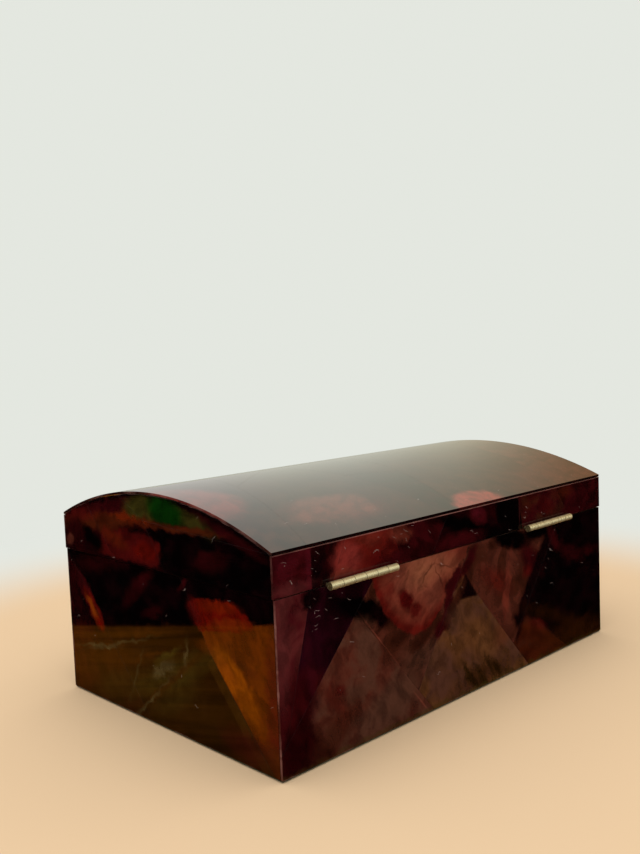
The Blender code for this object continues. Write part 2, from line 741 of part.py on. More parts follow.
def build():
    """Builds the whole box."""
    clear_scene()
    pieces = new_collection("coconut_shell_box")
    cutters = new_collection("cutters")

    base_board = base_boards(pieces, cutters)
    base_shell = base_shells(pieces, cutters)
    base_linings(pieces)
    for hand in HINGE_CENTRES:
        places = hinge_leaf("base", hand, -1, BASE_RIM, base_board, base_shell, pieces, cutters)
        hinge_screws("base", hand, -1, BASE_RIM, places, pieces, cutters)
        hinge_pin(hand, pieces)
    base_items = set(pieces.objects) | set(cutters.objects)

    lid_board = lid_boards(pieces, cutters)
    lid_shell = lid_shells(pieces, cutters)
    lid_linings(pieces)
    for hand in HINGE_CENTRES:
        places = hinge_leaf("lid", hand, 1, LID_RIM, lid_board, lid_shell, pieces, cutters)
        hinge_screws("lid", hand, 1, LID_RIM, places, pieces, cutters)
    lid_items = [item for item in (*pieces.objects, *cutters.objects) if item not in base_items]
    hang_on_pin_axis(lid_items, pieces)


build()
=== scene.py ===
"""Looks of an oblong box with an arched lid, covered in polished shell plates.

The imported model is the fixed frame. The shell plates, the velvet linings and the baize are
rebuilt here in finer detail, and the boards, hinges and screws get their own finishes.
Lengths are in metres, unless a name ends in _mm. +X is the right end, +Y the hinge side, +Z up.
"""

from __future__ import annotations

import logging
import math
from dataclasses import dataclass, field
from enum import Enum
from typing import Any, Callable, Sequence

import bmesh
import bpy
from mathutils import Matrix, Vector
from mathutils.geometry import delaunay_2d_cdt

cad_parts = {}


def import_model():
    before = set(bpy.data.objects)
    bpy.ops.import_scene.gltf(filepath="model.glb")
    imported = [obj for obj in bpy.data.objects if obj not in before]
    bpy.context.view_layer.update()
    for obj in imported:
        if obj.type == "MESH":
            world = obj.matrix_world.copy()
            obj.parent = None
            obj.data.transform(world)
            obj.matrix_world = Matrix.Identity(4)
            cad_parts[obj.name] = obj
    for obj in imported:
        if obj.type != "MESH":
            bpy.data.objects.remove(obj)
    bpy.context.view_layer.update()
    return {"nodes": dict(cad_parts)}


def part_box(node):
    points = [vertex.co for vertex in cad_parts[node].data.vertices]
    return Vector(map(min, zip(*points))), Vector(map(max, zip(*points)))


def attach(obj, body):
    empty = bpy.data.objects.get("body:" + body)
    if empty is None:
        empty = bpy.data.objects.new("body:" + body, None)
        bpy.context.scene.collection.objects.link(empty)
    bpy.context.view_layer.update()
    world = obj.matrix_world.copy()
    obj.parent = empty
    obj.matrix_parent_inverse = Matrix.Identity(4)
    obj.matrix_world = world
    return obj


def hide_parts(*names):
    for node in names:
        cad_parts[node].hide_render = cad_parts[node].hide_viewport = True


LOG = logging.getLogger("shell_box")

Colour = tuple[float, float, float]
Triple = tuple[float, float, float]
Point = tuple[float, float]
Seam = tuple[Point, Point]
Ring = tuple[float, float]
Wrap = Callable[[float, float, float], Vector]

MM = 1000.0


# Sizes of the box, as in its CAD source


@dataclass(frozen=True)
class BoxSizes:
    """Main sizes of the box."""

    half_length: float = 0.150
    lid_half_length: float = 0.1508
    half_depth: float = 0.0975
    end_half_depth: float = 0.0960
    foot: float = 0.0011
    base_rim: float = 0.08825
    lid_rim: float = 0.08875
    crest: float = 0.131
    shell: float = 0.0012
    skin: float = 0.0015
    crown_radius: float = 0.247656

    @property
    def crown_centre(self) -> float:
        """Height of the centre of the crown's arc."""
        return self.crest - self.crown_radius

    def crown_height(self, y: float, depth: float) -> float:
        """Height of the arc at a depth below the outside of the crown.

        Args:
            y: Distance from the middle of the box.
            depth: Depth below the outside of the crown, square to it.

        Returns:
            The height above the table.
        """
        return self.crown_centre + math.sqrt((self.crown_radius - depth) ** 2 - y * y)


BOX = BoxSizes()


# Tones of the materials, as linear colours


class Tone(Enum):
    """Colours of the shell and of the other materials."""

    BLACK = (0.0005, 0.0002, 0.0003)
    INK = (0.0035, 0.0004, 0.0008)
    PLUM = (0.015, 0.0010, 0.0040)
    OXBLOOD = (0.014, 0.0007, 0.0012)
    WINE = (0.026, 0.0014, 0.0024)
    BURGUNDY = (0.036, 0.0022, 0.0040)
    CRIMSON = (0.052, 0.0026, 0.0024)
    MAGENTA = (0.085, 0.0060, 0.0130)
    MAUVE = (0.072, 0.0115, 0.0120)
    PINK = (0.105, 0.0220, 0.0220)
    SALMON = (0.165, 0.0210, 0.0170)
    RUST = (0.085, 0.0060, 0.0042)
    CORAL = (0.120, 0.0210, 0.0125)
    BLUSH = (0.150, 0.0380, 0.0230)
    TAN = (0.200, 0.0640, 0.0330)
    ROSE = (0.250, 0.0340, 0.0250)
    CHESTNUT = (0.070, 0.0165, 0.0100)
    COCOA = (0.062, 0.0240, 0.0150)
    UMBER = (0.030, 0.0070, 0.0035)
    RUSSET = (0.044, 0.0070, 0.0018)
    TOBACCO = (0.088, 0.0330, 0.0115)
    STRAW = (0.130, 0.0560, 0.0220)
    MOSS = (0.018, 0.0075, 0.0014)
    OLIVE = (0.030, 0.0250, 0.0042)
    PALE_OLIVE = (0.050, 0.0400, 0.0160)
    BOTTLE_GREEN = (0.0018, 0.0210, 0.0012)
    BRONZE = (0.026, 0.0070, 0.0008)
    ORANGE = (0.078, 0.0090, 0.0016)
    TANGERINE = (0.150, 0.0290, 0.0020)
    GINGER = (0.080, 0.0145, 0.0008)
    AMBER = (0.182, 0.0400, 0.0006)
    EMBER = (0.086, 0.0028, 0.0005)
    FLAME = (0.150, 0.0120, 0.0010)
    SCRATCH = (0.620, 0.5000, 0.4600)
    WORN_EDGE = (0.340, 0.1500, 0.1300)
    SEAM_LINE = (0.006, 0.0018, 0.0016)
    WALL = (0.775, 0.8000, 0.7450)
    TABLE = (0.790, 0.5700, 0.3550)
    TABLE_MIRRORED = (0.225, 0.0720, 0.0015)
    ROOM_MIRRORED = (0.004, 0.0020, 0.0015)
    ROOM_COOL = (0.575, 0.5600, 0.5200)
    ROOM_MIDDLE = (0.600, 0.6000, 0.5100)
    ROOM_WARM = (0.520, 0.4800, 0.3550)
    ROOM_DUSK = (0.290, 0.1680, 0.0750)

    @property
    def rgba(self) -> tuple[float, float, float, float]:
        """The colour with an alpha of 1."""
        return (*self.value, 1.0)


# Node trees


class Graph:
    """Short ways to place and join the nodes of a material, a world or a node group."""

    def __init__(self, tree: bpy.types.NodeTree) -> None:
        """Works on a node tree.

        Args:
            tree: The tree that the nodes go into.
        """
        self.tree = tree

    def put(self, socket: bpy.types.NodeSocket, value: Any) -> None:
        """Links a socket to an input, or sets the input to a plain value.

        Args:
            socket: The input.
            value: An output socket, a Tone, a number or a sequence of numbers.
        """
        if isinstance(value, bpy.types.NodeSocket):
            self.tree.links.new(value, socket)
        elif isinstance(value, Tone):
            socket.default_value = value.rgba
        else:
            socket.default_value = value

    def add(self, kind: str, inputs: dict[Any, Any] | None = None, **settings: Any) -> Any:
        """Adds a node.

        Args:
            kind: Type of the node.
            inputs: Values or sockets for its inputs, by name or index.
            settings: The node's own properties.

        Returns:
            The node.
        """
        node = self.tree.nodes.new(kind)
        for name, value in settings.items():
            setattr(node, name, value)
        for key, value in (inputs or {}).items():
            self.put(node.inputs[key], value)
        return node

    def math(self, operation: str, *values: Any, clamp: bool = False) -> Any:
        """Adds a Math node and returns its output."""
        node = self.add("ShaderNodeMath", dict(enumerate(values)), operation=operation)
        node.use_clamp = clamp
        return node.outputs[0]

    def vector(self, operation: str, *values: Any) -> Any:
        """Adds a Vector Math node and returns its vector."""
        return self.add("ShaderNodeVectorMath", dict(enumerate(values)), operation=operation).outputs[0]

    def length(self, value: Any) -> Any:
        """Length of a vector."""
        return self.add("ShaderNodeVectorMath", {0: value}, operation="LENGTH").outputs["Value"]

    def split(self, value: Any) -> tuple[Any, Any, Any]:
        """The three parts of a vector."""
        outputs = self.add("ShaderNodeSeparateXYZ", {0: value}).outputs
        return outputs[0], outputs[1], outputs[2]

    def join(self, x: Any, y: Any, z: Any) -> Any:
        """A vector made of three numbers."""
        return self.add("ShaderNodeCombineXYZ", {0: x, 1: y, 2: z}).outputs[0]

    def rise(self, value: Any, low: Any, high: Any) -> Any:
        """Smooth step from 0 at low to 1 at high, which needs no clamp. It falls where high is below low."""
        inputs = {0: value, 1: low, 2: high}
        return self.add("ShaderNodeMapRange", inputs, interpolation_type="SMOOTHSTEP", clamp=False).outputs[0]

    def spread(self, value: Any, low: float, high: float) -> Any:
        """Spreads a value of 0 to 1 over a range."""
        return self.add("ShaderNodeMapRange", {0: value, 3: low, 4: high}).outputs[0]

    def mix(self, factor: Any, first: Any, second: Any, blend: str = "MIX") -> Any:
        """Mixes two colours, which are inputs 6 and 7 and output 2 of the Mix node."""
        inputs = {0: factor, 6: first, 7: second}
        return self.add("ShaderNodeMix", inputs, data_type="RGBA", blend_type=blend).outputs[2]

    def noise(self, where: Any, scale: Any, detail: float = 3.0, distortion: float = 0.0) -> Any:
        """Value of a noise texture, about 0.5 in the mean."""
        inputs = {"Vector": where, "Scale": scale, "Detail": detail, "Distortion": distortion}
        return self.add("ShaderNodeTexNoise", inputs).outputs[0]

    def turn(self, where: Any, angle: Any) -> Any:
        """Turns a vector about Z."""
        inputs = {"Vector": where, "Angle": angle}
        return self.add("ShaderNodeVectorRotate", inputs, rotation_type="Z_AXIS").outputs[0]

    def use(self, tree: bpy.types.NodeTree, **inputs: Any) -> Any:
        """Places a node group. An underscore in an input's name stands for a space."""
        node = self.add("ShaderNodeGroup", node_tree=tree)
        for name, value in inputs.items():
            self.put(node.inputs[name.replace("_", " ")], value)
        return node.outputs

    def bump(self, height: Any, strength: float, distance: float) -> Any:
        """Normal of a bump. Strength and distance are the Bump node's own."""
        inputs = {"Height": height, "Strength": strength, "Distance": distance}
        return self.add("ShaderNodeBump", inputs).outputs[0]


SOCKETS = {"F": "NodeSocketFloat", "V": "NodeSocketVector", "C": "NodeSocketColor"}


class EffectGroup:
    """A shader node group, built once, that several materials share."""

    _built: dict[str, bpy.types.NodeTree] = {}
    name = "effect"
    inputs: tuple[tuple[str, str, Any], ...] = ()
    outputs: tuple[tuple[str, str], ...] = ()

    def build(self, graph: Graph, inputs: Any) -> dict[str, Any]:
        """Builds the inside of the group.

        Args:
            graph: The group's own graph.
            inputs: Sockets of the group's inputs, by name.

        Returns:
            A socket for each output, by name.
        """
        raise NotImplementedError

    @classmethod
    def tree(cls) -> bpy.types.NodeTree:
        """The group's tree, made on first use."""
        if cls.name not in cls._built:
            tree = bpy.data.node_groups.new(cls.name, "ShaderNodeTree")
            for name, kind, value in cls.inputs:
                socket = tree.interface.new_socket(name, in_out="INPUT", socket_type=SOCKETS[kind])
                if value is not None:
                    socket.default_value = value
            for name, kind in cls.outputs:
                tree.interface.new_socket(name, in_out="OUTPUT", socket_type=SOCKETS[kind])
            graph = Graph(tree)
            entry, leave = graph.add("NodeGroupInput"), graph.add("NodeGroupOutput")
            for name, socket in cls().build(graph, entry.outputs).items():
                graph.put(leave.inputs[name], socket)
            cls._built[cls.name] = tree
        return cls._built[cls.name]


class Drift(EffectGroup):
    """Moves places by noise, so that a shape drawn with them has a wandering edge."""

    name = "drift"
    inputs = (("Place", "V", None), ("Scale", "F", 0.1), ("Reach", "F", 5.0))
    outputs = (("Place", "V"),)

    def build(self, graph: Graph, inputs: Any) -> dict[str, Any]:
        """Adds noise to the place, within the face."""
        settings = {"Vector": inputs["Place"], "Scale": inputs["Scale"], "Detail": 3.0}
        drift = graph.add("ShaderNodeTexNoise", settings)
        offset = graph.vector("SUBTRACT", drift.outputs[1], (0.5, 0.5, 0.5))
        offset = graph.vector("MULTIPLY", offset, graph.join(inputs["Reach"], inputs["Reach"], 0.0))
        return {"Place": graph.vector("ADD", inputs["Place"], offset)}


class OvalMask(EffectGroup):
    """Mask of an oval, soft over a width in millimetres."""

    name = "oval_mask"
    inputs = (("Place", "V", None), ("Centre", "V", None), ("Reach", "V", (10.0, 10.0, 1.0)),
              ("Turn", "F", 0.0), ("Softness", "F", 1.0), ("Strength", "F", 1.0))
    outputs = (("Mask", "F"),)

    def build(self, graph: Graph, inputs: Any) -> dict[str, Any]:
        """Measures about how far inside the oval a point lies."""
        place = graph.vector("SUBTRACT", inputs["Place"], inputs["Centre"])
        turned = graph.turn(place, graph.math("MULTIPLY", inputs["Turn"], -1.0))
        x, y, _ = graph.split(graph.vector("DIVIDE", turned, inputs["Reach"]))
        wide, high, _ = graph.split(inputs["Reach"])
        depth = graph.math("SUBTRACT", 1.0, graph.length(graph.join(x, y, 0.0)))
        depth = graph.math("MULTIPLY", depth, graph.math("MINIMUM", wide, high))
        soft = graph.math("MULTIPLY", inputs["Softness"], -1.0)
        mask = graph.rise(depth, soft, inputs["Softness"])
        return {"Mask": graph.math("MULTIPLY", mask, inputs["Strength"])}


class SideMask(EffectGroup):
    """Mask of everything on one side of a straight line, soft over a width in millimetres."""

    name = "side_mask"
    inputs = (("Place", "V", None), ("Point", "V", None), ("Inward", "V", (1.0, 0.0, 0.0)),
              ("Softness", "F", 1.0), ("Mask", "F", 1.0))
    outputs = (("Mask", "F"),)

    def build(self, graph: Graph, inputs: Any) -> dict[str, Any]:
        """Multiplies a mask by what lies inside the line."""
        offset = graph.vector("SUBTRACT", inputs["Place"], inputs["Point"])
        dot = graph.add("ShaderNodeVectorMath", {0: offset, 1: inputs["Inward"]}, operation="DOT_PRODUCT")
        soft = graph.math("MULTIPLY", inputs["Softness"], -1.0)
        mask = graph.rise(dot.outputs["Value"], soft, inputs["Softness"])
        return {"Mask": graph.math("MULTIPLY", mask, inputs["Mask"])}


class Mottle(EffectGroup):
    """Clouds, flames and fine grain inside a plate of shell."""

    name = "shell_mottle"
    inputs = (("Grain", "V", None), ("Clouding", "F", 1.0))
    outputs = (("Cloud", "F"), ("Shade", "F"), ("Height", "F"))

    def build(self, graph: Graph, inputs: Any) -> dict[str, Any]:
        """Layers noise from wide clouds down to fine fibres."""
        grain = inputs["Grain"]
        cloud = graph.noise(grain, 0.055, 4.0, 0.9)
        flame = graph.noise(graph.vector("MULTIPLY", grain, (0.8, 1.2, 1.0)), 0.11, 5.0, 0.4)
        fibre = graph.noise(graph.vector("MULTIPLY", grain, (0.35, 2.0, 1.0)), 0.7, 3.0, 0.2)
        fleck = graph.noise(grain, 0.8, 4.0)
        both = graph.math("ADD", graph.math("MULTIPLY", cloud, 0.65), graph.math("MULTIPLY", flame, 0.35))
        mask = graph.math("MULTIPLY", graph.rise(both, 0.42, 0.60), inputs["Clouding"])
        depth = graph.spread(graph.rise(flame, 0.34, 0.66), 0.70, 1.30)
        shade = graph.math("ADD", depth, graph.spread(fibre, -0.08, 0.08))
        shade = graph.math("ADD", shade, graph.spread(fleck, -0.20, 0.20))
        return {"Cloud": mask, "Shade": shade, "Height": fibre}


class Strokes(EffectGroup):
    """Short hairline scratches, one in each of some cells."""

    name = "fine_scratches"
    inputs = (("Place", "V", None), ("Amount", "F", 0.2), ("Length", "F", 5.0), ("Width", "F", 0.3),
              ("Turn", "F", 0.0))
    outputs = (("Mask", "F"),)

    def build(self, graph: Graph, inputs: Any) -> dict[str, Any]:
        """Draws strokes with a stretched Voronoi pattern."""
        turned = graph.turn(inputs["Place"], inputs["Turn"])
        room = graph.math("MULTIPLY", inputs["Width"], 3.0)
        cells = graph.vector("DIVIDE", turned, graph.join(inputs["Length"], room, 1.0))
        pattern = graph.add("ShaderNodeTexVoronoi", {"Vector": cells, "Scale": 1.0}, voronoi_dimensions="2D")
        core = graph.rise(pattern.outputs["Distance"], 0.30, 0.10)
        red, _, _ = graph.split(pattern.outputs["Color"])
        kept = graph.math("LESS_THAN", red, inputs["Amount"])
        return {"Mask": graph.math("MULTIPLY", core, kept)}


class RimDistance(EffectGroup):
    """Distance to the nearest edge of a face, in millimetres."""

    name = "rim_distance"
    inputs = (("Place", "V", None), ("Half Width", "F", 150.0), ("Foot", "F", 0.0), ("Top", "F", 88.0),
              ("Arch Radius", "F", 0.0), ("Arch Centre", "F", 0.0))
    outputs = (("Distance", "F"),)

    def build(self, graph: Graph, inputs: Any) -> dict[str, Any]:
        """Takes the least of the distances to the sides, the foot and the top."""
        across, up, _ = graph.split(inputs["Place"])
        side = graph.math("SUBTRACT", inputs["Half Width"], graph.math("ABSOLUTE", across))
        foot = graph.math("SUBTRACT", up, inputs["Foot"])
        level = graph.math("SUBTRACT", inputs["Top"], up)
        below = graph.math("SUBTRACT", up, inputs["Arch Centre"])
        arch = graph.math("SUBTRACT", inputs["Arch Radius"], graph.length(graph.join(across, below, 0.0)))
        arched = graph.math("GREATER_THAN", inputs["Arch Radius"], 0.5)
        top = graph.add("ShaderNodeMix", {0: arched, 2: level, 3: arch}, data_type="FLOAT").outputs[0]
        return {"Distance": graph.math("MINIMUM", graph.math("MINIMUM", side, foot), top)}


class WornLine(EffectGroup):
    """Wear along an edge, from the distance to it: a faint line with a few brighter stretches."""

    name = "worn_edge"
    inputs = (("Place", "V", None), ("Distance", "F", 1.0), ("Width", "F", 0.6), ("Amount", "F", 0.5))
    outputs = (("Mask", "F"),)

    def build(self, graph: Graph, inputs: Any) -> dict[str, Any]:
        """Varies the width and strength of a line with noise."""
        wide = graph.noise(inputs["Place"], 0.22, 4.0)
        reach = graph.math("MULTIPLY", inputs["Width"], graph.spread(graph.rise(wide, 0.35, 0.70), 0.45, 1.5))
        line = graph.rise(inputs["Distance"], reach, graph.math("MULTIPLY", reach, 0.35))
        worn = graph.rise(graph.noise(inputs["Place"], 0.08, 4.0), 0.42, 0.66)
        share = graph.math("MULTIPLY", graph.spread(worn, 0.08, 1.0), inputs["Amount"])
        return {"Mask": graph.math("MULTIPLY", line, share)}


class Dust(EffectGroup):
    """Fine dust and bloom, in soft drifts."""

    name = "dust_bloom"
    inputs = (("Place", "V", None), ("Amount", "F", 0.05))
    outputs = (("Mask", "F"),)

    def build(self, graph: Graph, inputs: Any) -> dict[str, Any]:
        """Mixes specks with wide soft drifts."""
        drift = graph.rise(graph.noise(inputs["Place"], 0.03, 3.0), 0.35, 0.75)
        speck = graph.rise(graph.noise(inputs["Place"], 2.6, 1.0), 0.66, 0.76)
        both = graph.math("ADD", graph.math("MULTIPLY", drift, 0.35), speck)
        return {"Mask": graph.math("MULTIPLY", both, inputs["Amount"], clamp=True)}


def fresh_material(name: str) -> tuple[bpy.types.Material, Graph, Any]:
    """Makes a material with only an output and a Principled BSDF.

    Args:
        name: Name of the material.

    Returns:
        The material, its graph and its Principled BSDF.
    """
    material = bpy.data.materials.new(name)
    material.use_nodes = True
    material.node_tree.nodes.clear()
    graph = Graph(material.node_tree)
    surface = graph.add("ShaderNodeBsdfPrincipled")
    leave = graph.add("ShaderNodeOutputMaterial")
    graph.put(leave.inputs["Surface"], surface.outputs[0])
    return material, graph, surface


# Finishes


class Edge(Enum):
    """How the edge of a patch runs: scale and reach of the noise that moves it."""

    STRAIGHT = (0.0, 0.0)
    RAGGED = (0.17, 7.0)


@dataclass(frozen=True)
class Blot:
    """An oval patch of another tone. Lengths are in millimetres and the turn in degrees."""

    at: Point
    reach: Point
    tone: Tone
    turn: float = 0.0
    soft: float = 2.0
    edge: Edge = Edge.RAGGED
    strength: float = 1.0

    def mask(self, graph: Graph, places: dict[Edge, Any]) -> Any:
        """Mask of the patch, from the place that its edge follows."""
        return graph.use(
            OvalMask.tree(), Place=places[self.edge], Centre=(*self.at, 0.0), Reach=(*self.reach, 1.0),
            Turn=math.radians(self.turn), Softness=self.soft, Strength=self.strength)["Mask"]


@dataclass(frozen=True)
class Facet:
    """A convex patch with straight sides, its corners counterclockwise, in millimetres."""

    corners: tuple[Point, ...]
    tone: Tone
    soft: float = 0.5
    edge: Edge = Edge.STRAIGHT
    strength: float = 1.0

    def mask(self, graph: Graph, places: dict[Edge, Any]) -> Any:
        """Mask of the patch: the product of one mask for each side."""
        total: Any = self.strength
        for (x0, y0), (x1, y1) in zip(self.corners, [*self.corners[1:], self.corners[0]]):
            size = math.hypot(x1 - x0, y1 - y0)
            inward = ((y0 - y1) / size, (x1 - x0) / size, 0.0)
            total = graph.use(SideMask.tree(), Place=places[self.edge], Point=(x0, y0, 0.0), Inward=inward,
                              Softness=self.soft, Mask=total)["Mask"]
        return total


Patch = Blot | Facet


@dataclass(frozen=True)
class Scratch:
    """One kind of scratch: its length and width in millimetres, its direction and how common it is."""

    length: float
    width: float
    turn: float
    share: float


SCRATCHES = (Scratch(7.0, 0.15, -0.3, 1.0), Scratch(5.0, 0.13, 2.5, 0.8), Scratch(1.2, 0.24, 1.2, 0.4))


@dataclass(frozen=True)
class ShellFinish:
    """Polished shell plates under clear lacquer, with the patches of one face."""

    name: str
    half_width_mm: float
    foot_mm: float
    top_mm: float
    patches: tuple[Patch, ...]
    arch_radius_mm: float = 0.0
    arch_centre_mm: float = 0.0
    scratches: float = 0.0006
    scratches_in_zone: float = 0.012
    scratched: tuple[Blot, ...] = ()
    scratch_cover: float = 0.4
    wear: float = 0.5
    wear_width_mm: float = 0.35
    clouding: float = 0.9
    seam: float = 0.25
    coat: float = 0.0
    dust: float = 0.0012
    rough: float = 0.045
    scratch_rough: float = 0.4
    worn_rough: float = 0.45

    def material(self) -> bpy.types.Material:
        """Builds the material."""
        material, graph, surface = fresh_material(self.name)
        place = graph.add("ShaderNodeAttribute", attribute_name="shell_place").outputs["Vector"]
        grain = graph.add("ShaderNodeAttribute", attribute_name="shell_grain").outputs["Vector"]
        body = graph.add("ShaderNodeAttribute", attribute_name="plate_body").outputs["Color"]
        cloud = graph.add("ShaderNodeAttribute", attribute_name="plate_cloud").outputs["Color"]
        seam = graph.add("ShaderNodeAttribute", attribute_name="plate_seam").outputs["Fac"]
        flat = graph.vector("MULTIPLY", place, (1.0, 1.0, 0.0))
        scale, reach = Edge.RAGGED.value
        drifted = graph.use(Drift.tree(), Place=flat, Scale=scale, Reach=reach)["Place"]
        places = {Edge.STRAIGHT: flat, Edge.RAGGED: drifted}
        mottle = graph.use(Mottle.tree(), Grain=grain, Clouding=self.clouding)
        colour = graph.mix(mottle["Cloud"], body, cloud)
        for patch in self.patches:
            colour = graph.mix(patch.mask(graph, places), colour, patch.tone)
        shade = graph.join(mottle["Shade"], mottle["Shade"], mottle["Shade"])
        colour = graph.mix(1.0, colour, shade, "MULTIPLY")
        colour = graph.mix(graph.math("MULTIPLY", seam, self.seam), colour, Tone.SEAM_LINE)
        marks = self._marks(graph, places)
        colour = graph.mix(marks, colour, Tone.SCRATCH)
        worn = self._worn(graph, place)
        colour = graph.mix(worn, colour, Tone.WORN_EDGE)
        dust = graph.use(Dust.tree(), Place=place, Amount=self.dust)["Mask"]
        colour = graph.mix(dust, colour, Tone.SCRATCH)
        rough = graph.math("ADD", self.rough, graph.math("MULTIPLY", marks, self.scratch_rough))
        rough = graph.math("ADD", rough, graph.math("MULTIPLY", worn, self.worn_rough), clamp=True)
        wave = graph.noise(place, 0.035, 1.0)
        height = graph.math("ADD", wave, graph.math("MULTIPLY", marks, -0.02))
        graph.put(surface.inputs["Base Color"], colour)
        graph.put(surface.inputs["Roughness"], rough)
        graph.put(surface.inputs["Normal"], graph.bump(height, 0.25, 0.0002))
        surface.inputs["IOR"].default_value = 1.5
        surface.inputs["Coat Weight"].default_value = self.coat
        surface.inputs["Coat Roughness"].default_value = 0.03
        return material

    def _marks(self, graph: Graph, places: dict[Edge, Any]) -> Any:
        """Mask of the scratches and pits, in three lengths and directions."""
        amount: Any = self.scratches
        for zone in self.scratched:
            more = graph.math("MULTIPLY", zone.mask(graph, places), self.scratches_in_zone)
            amount = graph.math("ADD", amount, more)
        total: Any = 0.0
        for kind in SCRATCHES:
            mask = graph.use(
                Strokes.tree(), Place=places[Edge.RAGGED], Amount=graph.math("MULTIPLY", amount, kind.share),
                Length=kind.length, Width=kind.width, Turn=kind.turn)["Mask"]
            total = graph.math("MAXIMUM", total, mask)
        return graph.math("MULTIPLY", total, self.scratch_cover)

    def _worn(self, graph: Graph, place: Any) -> Any:
        """Mask of the wear along the face's edges."""
        rim = graph.use(
            RimDistance.tree(), Place=place, Half_Width=self.half_width_mm, Foot=self.foot_mm,
            Top=self.top_mm, Arch_Radius=self.arch_radius_mm, Arch_Centre=self.arch_centre_mm)["Distance"]
        worn = graph.use(
            WornLine.tree(), Place=place, Distance=rim, Width=self.wear_width_mm, Amount=self.wear)
        return worn["Mask"]


@dataclass(frozen=True)
class BrassFinish:
    """Aged brass. It is rubbed bright along the barrel's outer line, which also serves as a painted
    highlight, and near-black on the faces turned towards the shell, which is painted shade.
    """

    name: str
    bright: Colour = (0.56, 0.43, 0.23)
    dull: Colour = (0.36, 0.27, 0.13)
    rubbed_and_highlight: Colour = (1.00, 0.93, 0.58)
    painted_shade: Colour = (0.022, 0.014, 0.006)
    rough: Point = (0.24, 0.46)
    metal: float = 0.6

    def material(self) -> bpy.types.Material:
        """Builds the material."""
        material, graph, surface = fresh_material(self.name)
        place = graph.add("ShaderNodeTexCoord").outputs["Object"]
        place = graph.vector("MULTIPLY", place, (MM, MM, MM))
        stain = graph.rise(graph.noise(place, 0.55, 5.0, 0.6), 0.42, 0.66)
        speck = graph.rise(graph.noise(place, 3.5, 2.0), 0.60, 0.72)
        brushed = graph.noise(graph.vector("MULTIPLY", place, (0.2, 4.0, 4.0)), 2.0, 2.0)
        stain, speck = graph.math("MULTIPLY", stain, 0.6), graph.math("MULTIPLY", speck, 0.4)
        old = graph.math("ADD", stain, speck, clamp=True)
        colour = graph.mix(old, (*self.bright, 1.0), (*self.dull, 1.0))
        marks = graph.use(Strokes.tree(), Place=place, Amount=0.3, Length=1.4, Width=0.05, Turn=0.7)["Mask"]
        colour = graph.mix(graph.math("MULTIPLY", marks, 0.5), colour, (*self.dull, 1.0))
        _, outward, upward = graph.split(graph.add("ShaderNodeTexCoord").outputs["Normal"])
        # Brighter where the normal faces outwards, along the barrel's outer line: rubbing wear, and also a
        # painted highlight.
        rub_and_highlight_mask = graph.rise(graph.math("ADD", outward, graph.math("MULTIPLY", upward, 0.2)), 0.84, 1.01)
        colour = graph.mix(graph.math("MULTIPLY", rub_and_highlight_mask, 0.8), colour, (*self.rubbed_and_highlight, 1.0))
        # Near-black where the normal faces back towards the shell: painted shade, not dirt.
        colour = graph.mix(graph.rise(outward, 0.20, -0.15), colour, (*self.painted_shade, 1.0))
        graph.put(surface.inputs["Base Color"], colour)
        graph.put(surface.inputs["Roughness"], graph.spread(old, *self.rough))
        graph.put(surface.inputs["Normal"], graph.bump(graph.math("ADD", brushed, marks), 0.12, 0.00005))
        surface.inputs["Metallic"].default_value = self.metal
        return material


@dataclass(frozen=True)
class WoodFinish:
    """Stained softwood with long grain along one axis."""

    name: str
    pale: Colour = (0.210, 0.085, 0.036)
    dark: Colour = (0.085, 0.030, 0.014)
    stretch: Triple = (0.08, 1.0, 1.0)

    def material(self) -> bpy.types.Material:
        """Builds the material."""
        material, graph, surface = fresh_material(self.name)
        place = graph.add("ShaderNodeTexCoord").outputs["Object"]
        place = graph.vector("MULTIPLY", place, (MM, MM, MM))
        along = graph.vector("MULTIPLY", place, self.stretch)
        rings = graph.noise(along, 0.35, 4.0, 1.2)
        pores = graph.rise(graph.noise(along, 3.2, 3.0), 0.55, 0.75)
        colour = graph.mix(graph.rise(rings, 0.35, 0.68), (*self.pale, 1.0), (*self.dark, 1.0))
        colour = graph.mix(graph.math("MULTIPLY", pores, 0.5), colour, (*self.dark, 1.0))
        dust = graph.use(Dust.tree(), Place=place, Amount=0.05)["Mask"]
        colour = graph.mix(dust, colour, Tone.SCRATCH)
        graph.put(surface.inputs["Base Color"], colour)
        graph.put(surface.inputs["Roughness"], graph.spread(pores, 0.48, 0.75))
        graph.put(surface.inputs["Normal"], graph.bump(graph.math("SUBTRACT", rings, pores), 0.3, 0.0001))
        return material


@dataclass(frozen=True)
class PileFinish:
    """Cloth with a short pile: velvet, or the felted wool of baize."""

    name: str
    deep: Colour
    light: Colour
    nap: float = 1.0
    sheen: float = 0.4

    def material(self) -> bpy.types.Material:
        """Builds the material."""
        material, graph, surface = fresh_material(self.name)
        place = graph.add("ShaderNodeAttribute", attribute_name="cloth_place").outputs["Vector"]
        brushed = graph.rise(graph.noise(place, 0.04, 5.0, 0.3), 0.34, 0.68)
        tuft = graph.noise(place, 2.2, 3.0)
        fibre = graph.noise(graph.vector("MULTIPLY", place, (1.0, 0.4, 1.0)), 4.5, 2.0)
        colour = graph.mix(graph.math("MULTIPLY", brushed, 0.5), (*self.deep, 1.0), (*self.light, 1.0))
        speck = graph.spread(tuft, 0.72, 1.28)
        colour = graph.mix(1.0, colour, graph.join(speck, speck, speck), "MULTIPLY")
        dust = graph.use(Dust.tree(), Place=place, Amount=0.02)["Mask"]
        colour = graph.mix(dust, colour, Tone.SCRATCH)
        graph.put(surface.inputs["Base Color"], colour)
        graph.put(surface.inputs["Roughness"], graph.spread(brushed, 0.85, 0.98))
        height = graph.math("ADD", tuft, fibre)
        graph.put(surface.inputs["Normal"], graph.bump(height, 0.5 * self.nap, 0.0002))
        surface.inputs["Sheen Weight"].default_value = self.sheen
        surface.inputs["Sheen Roughness"].default_value = 0.4
        return material


# Plates and panels


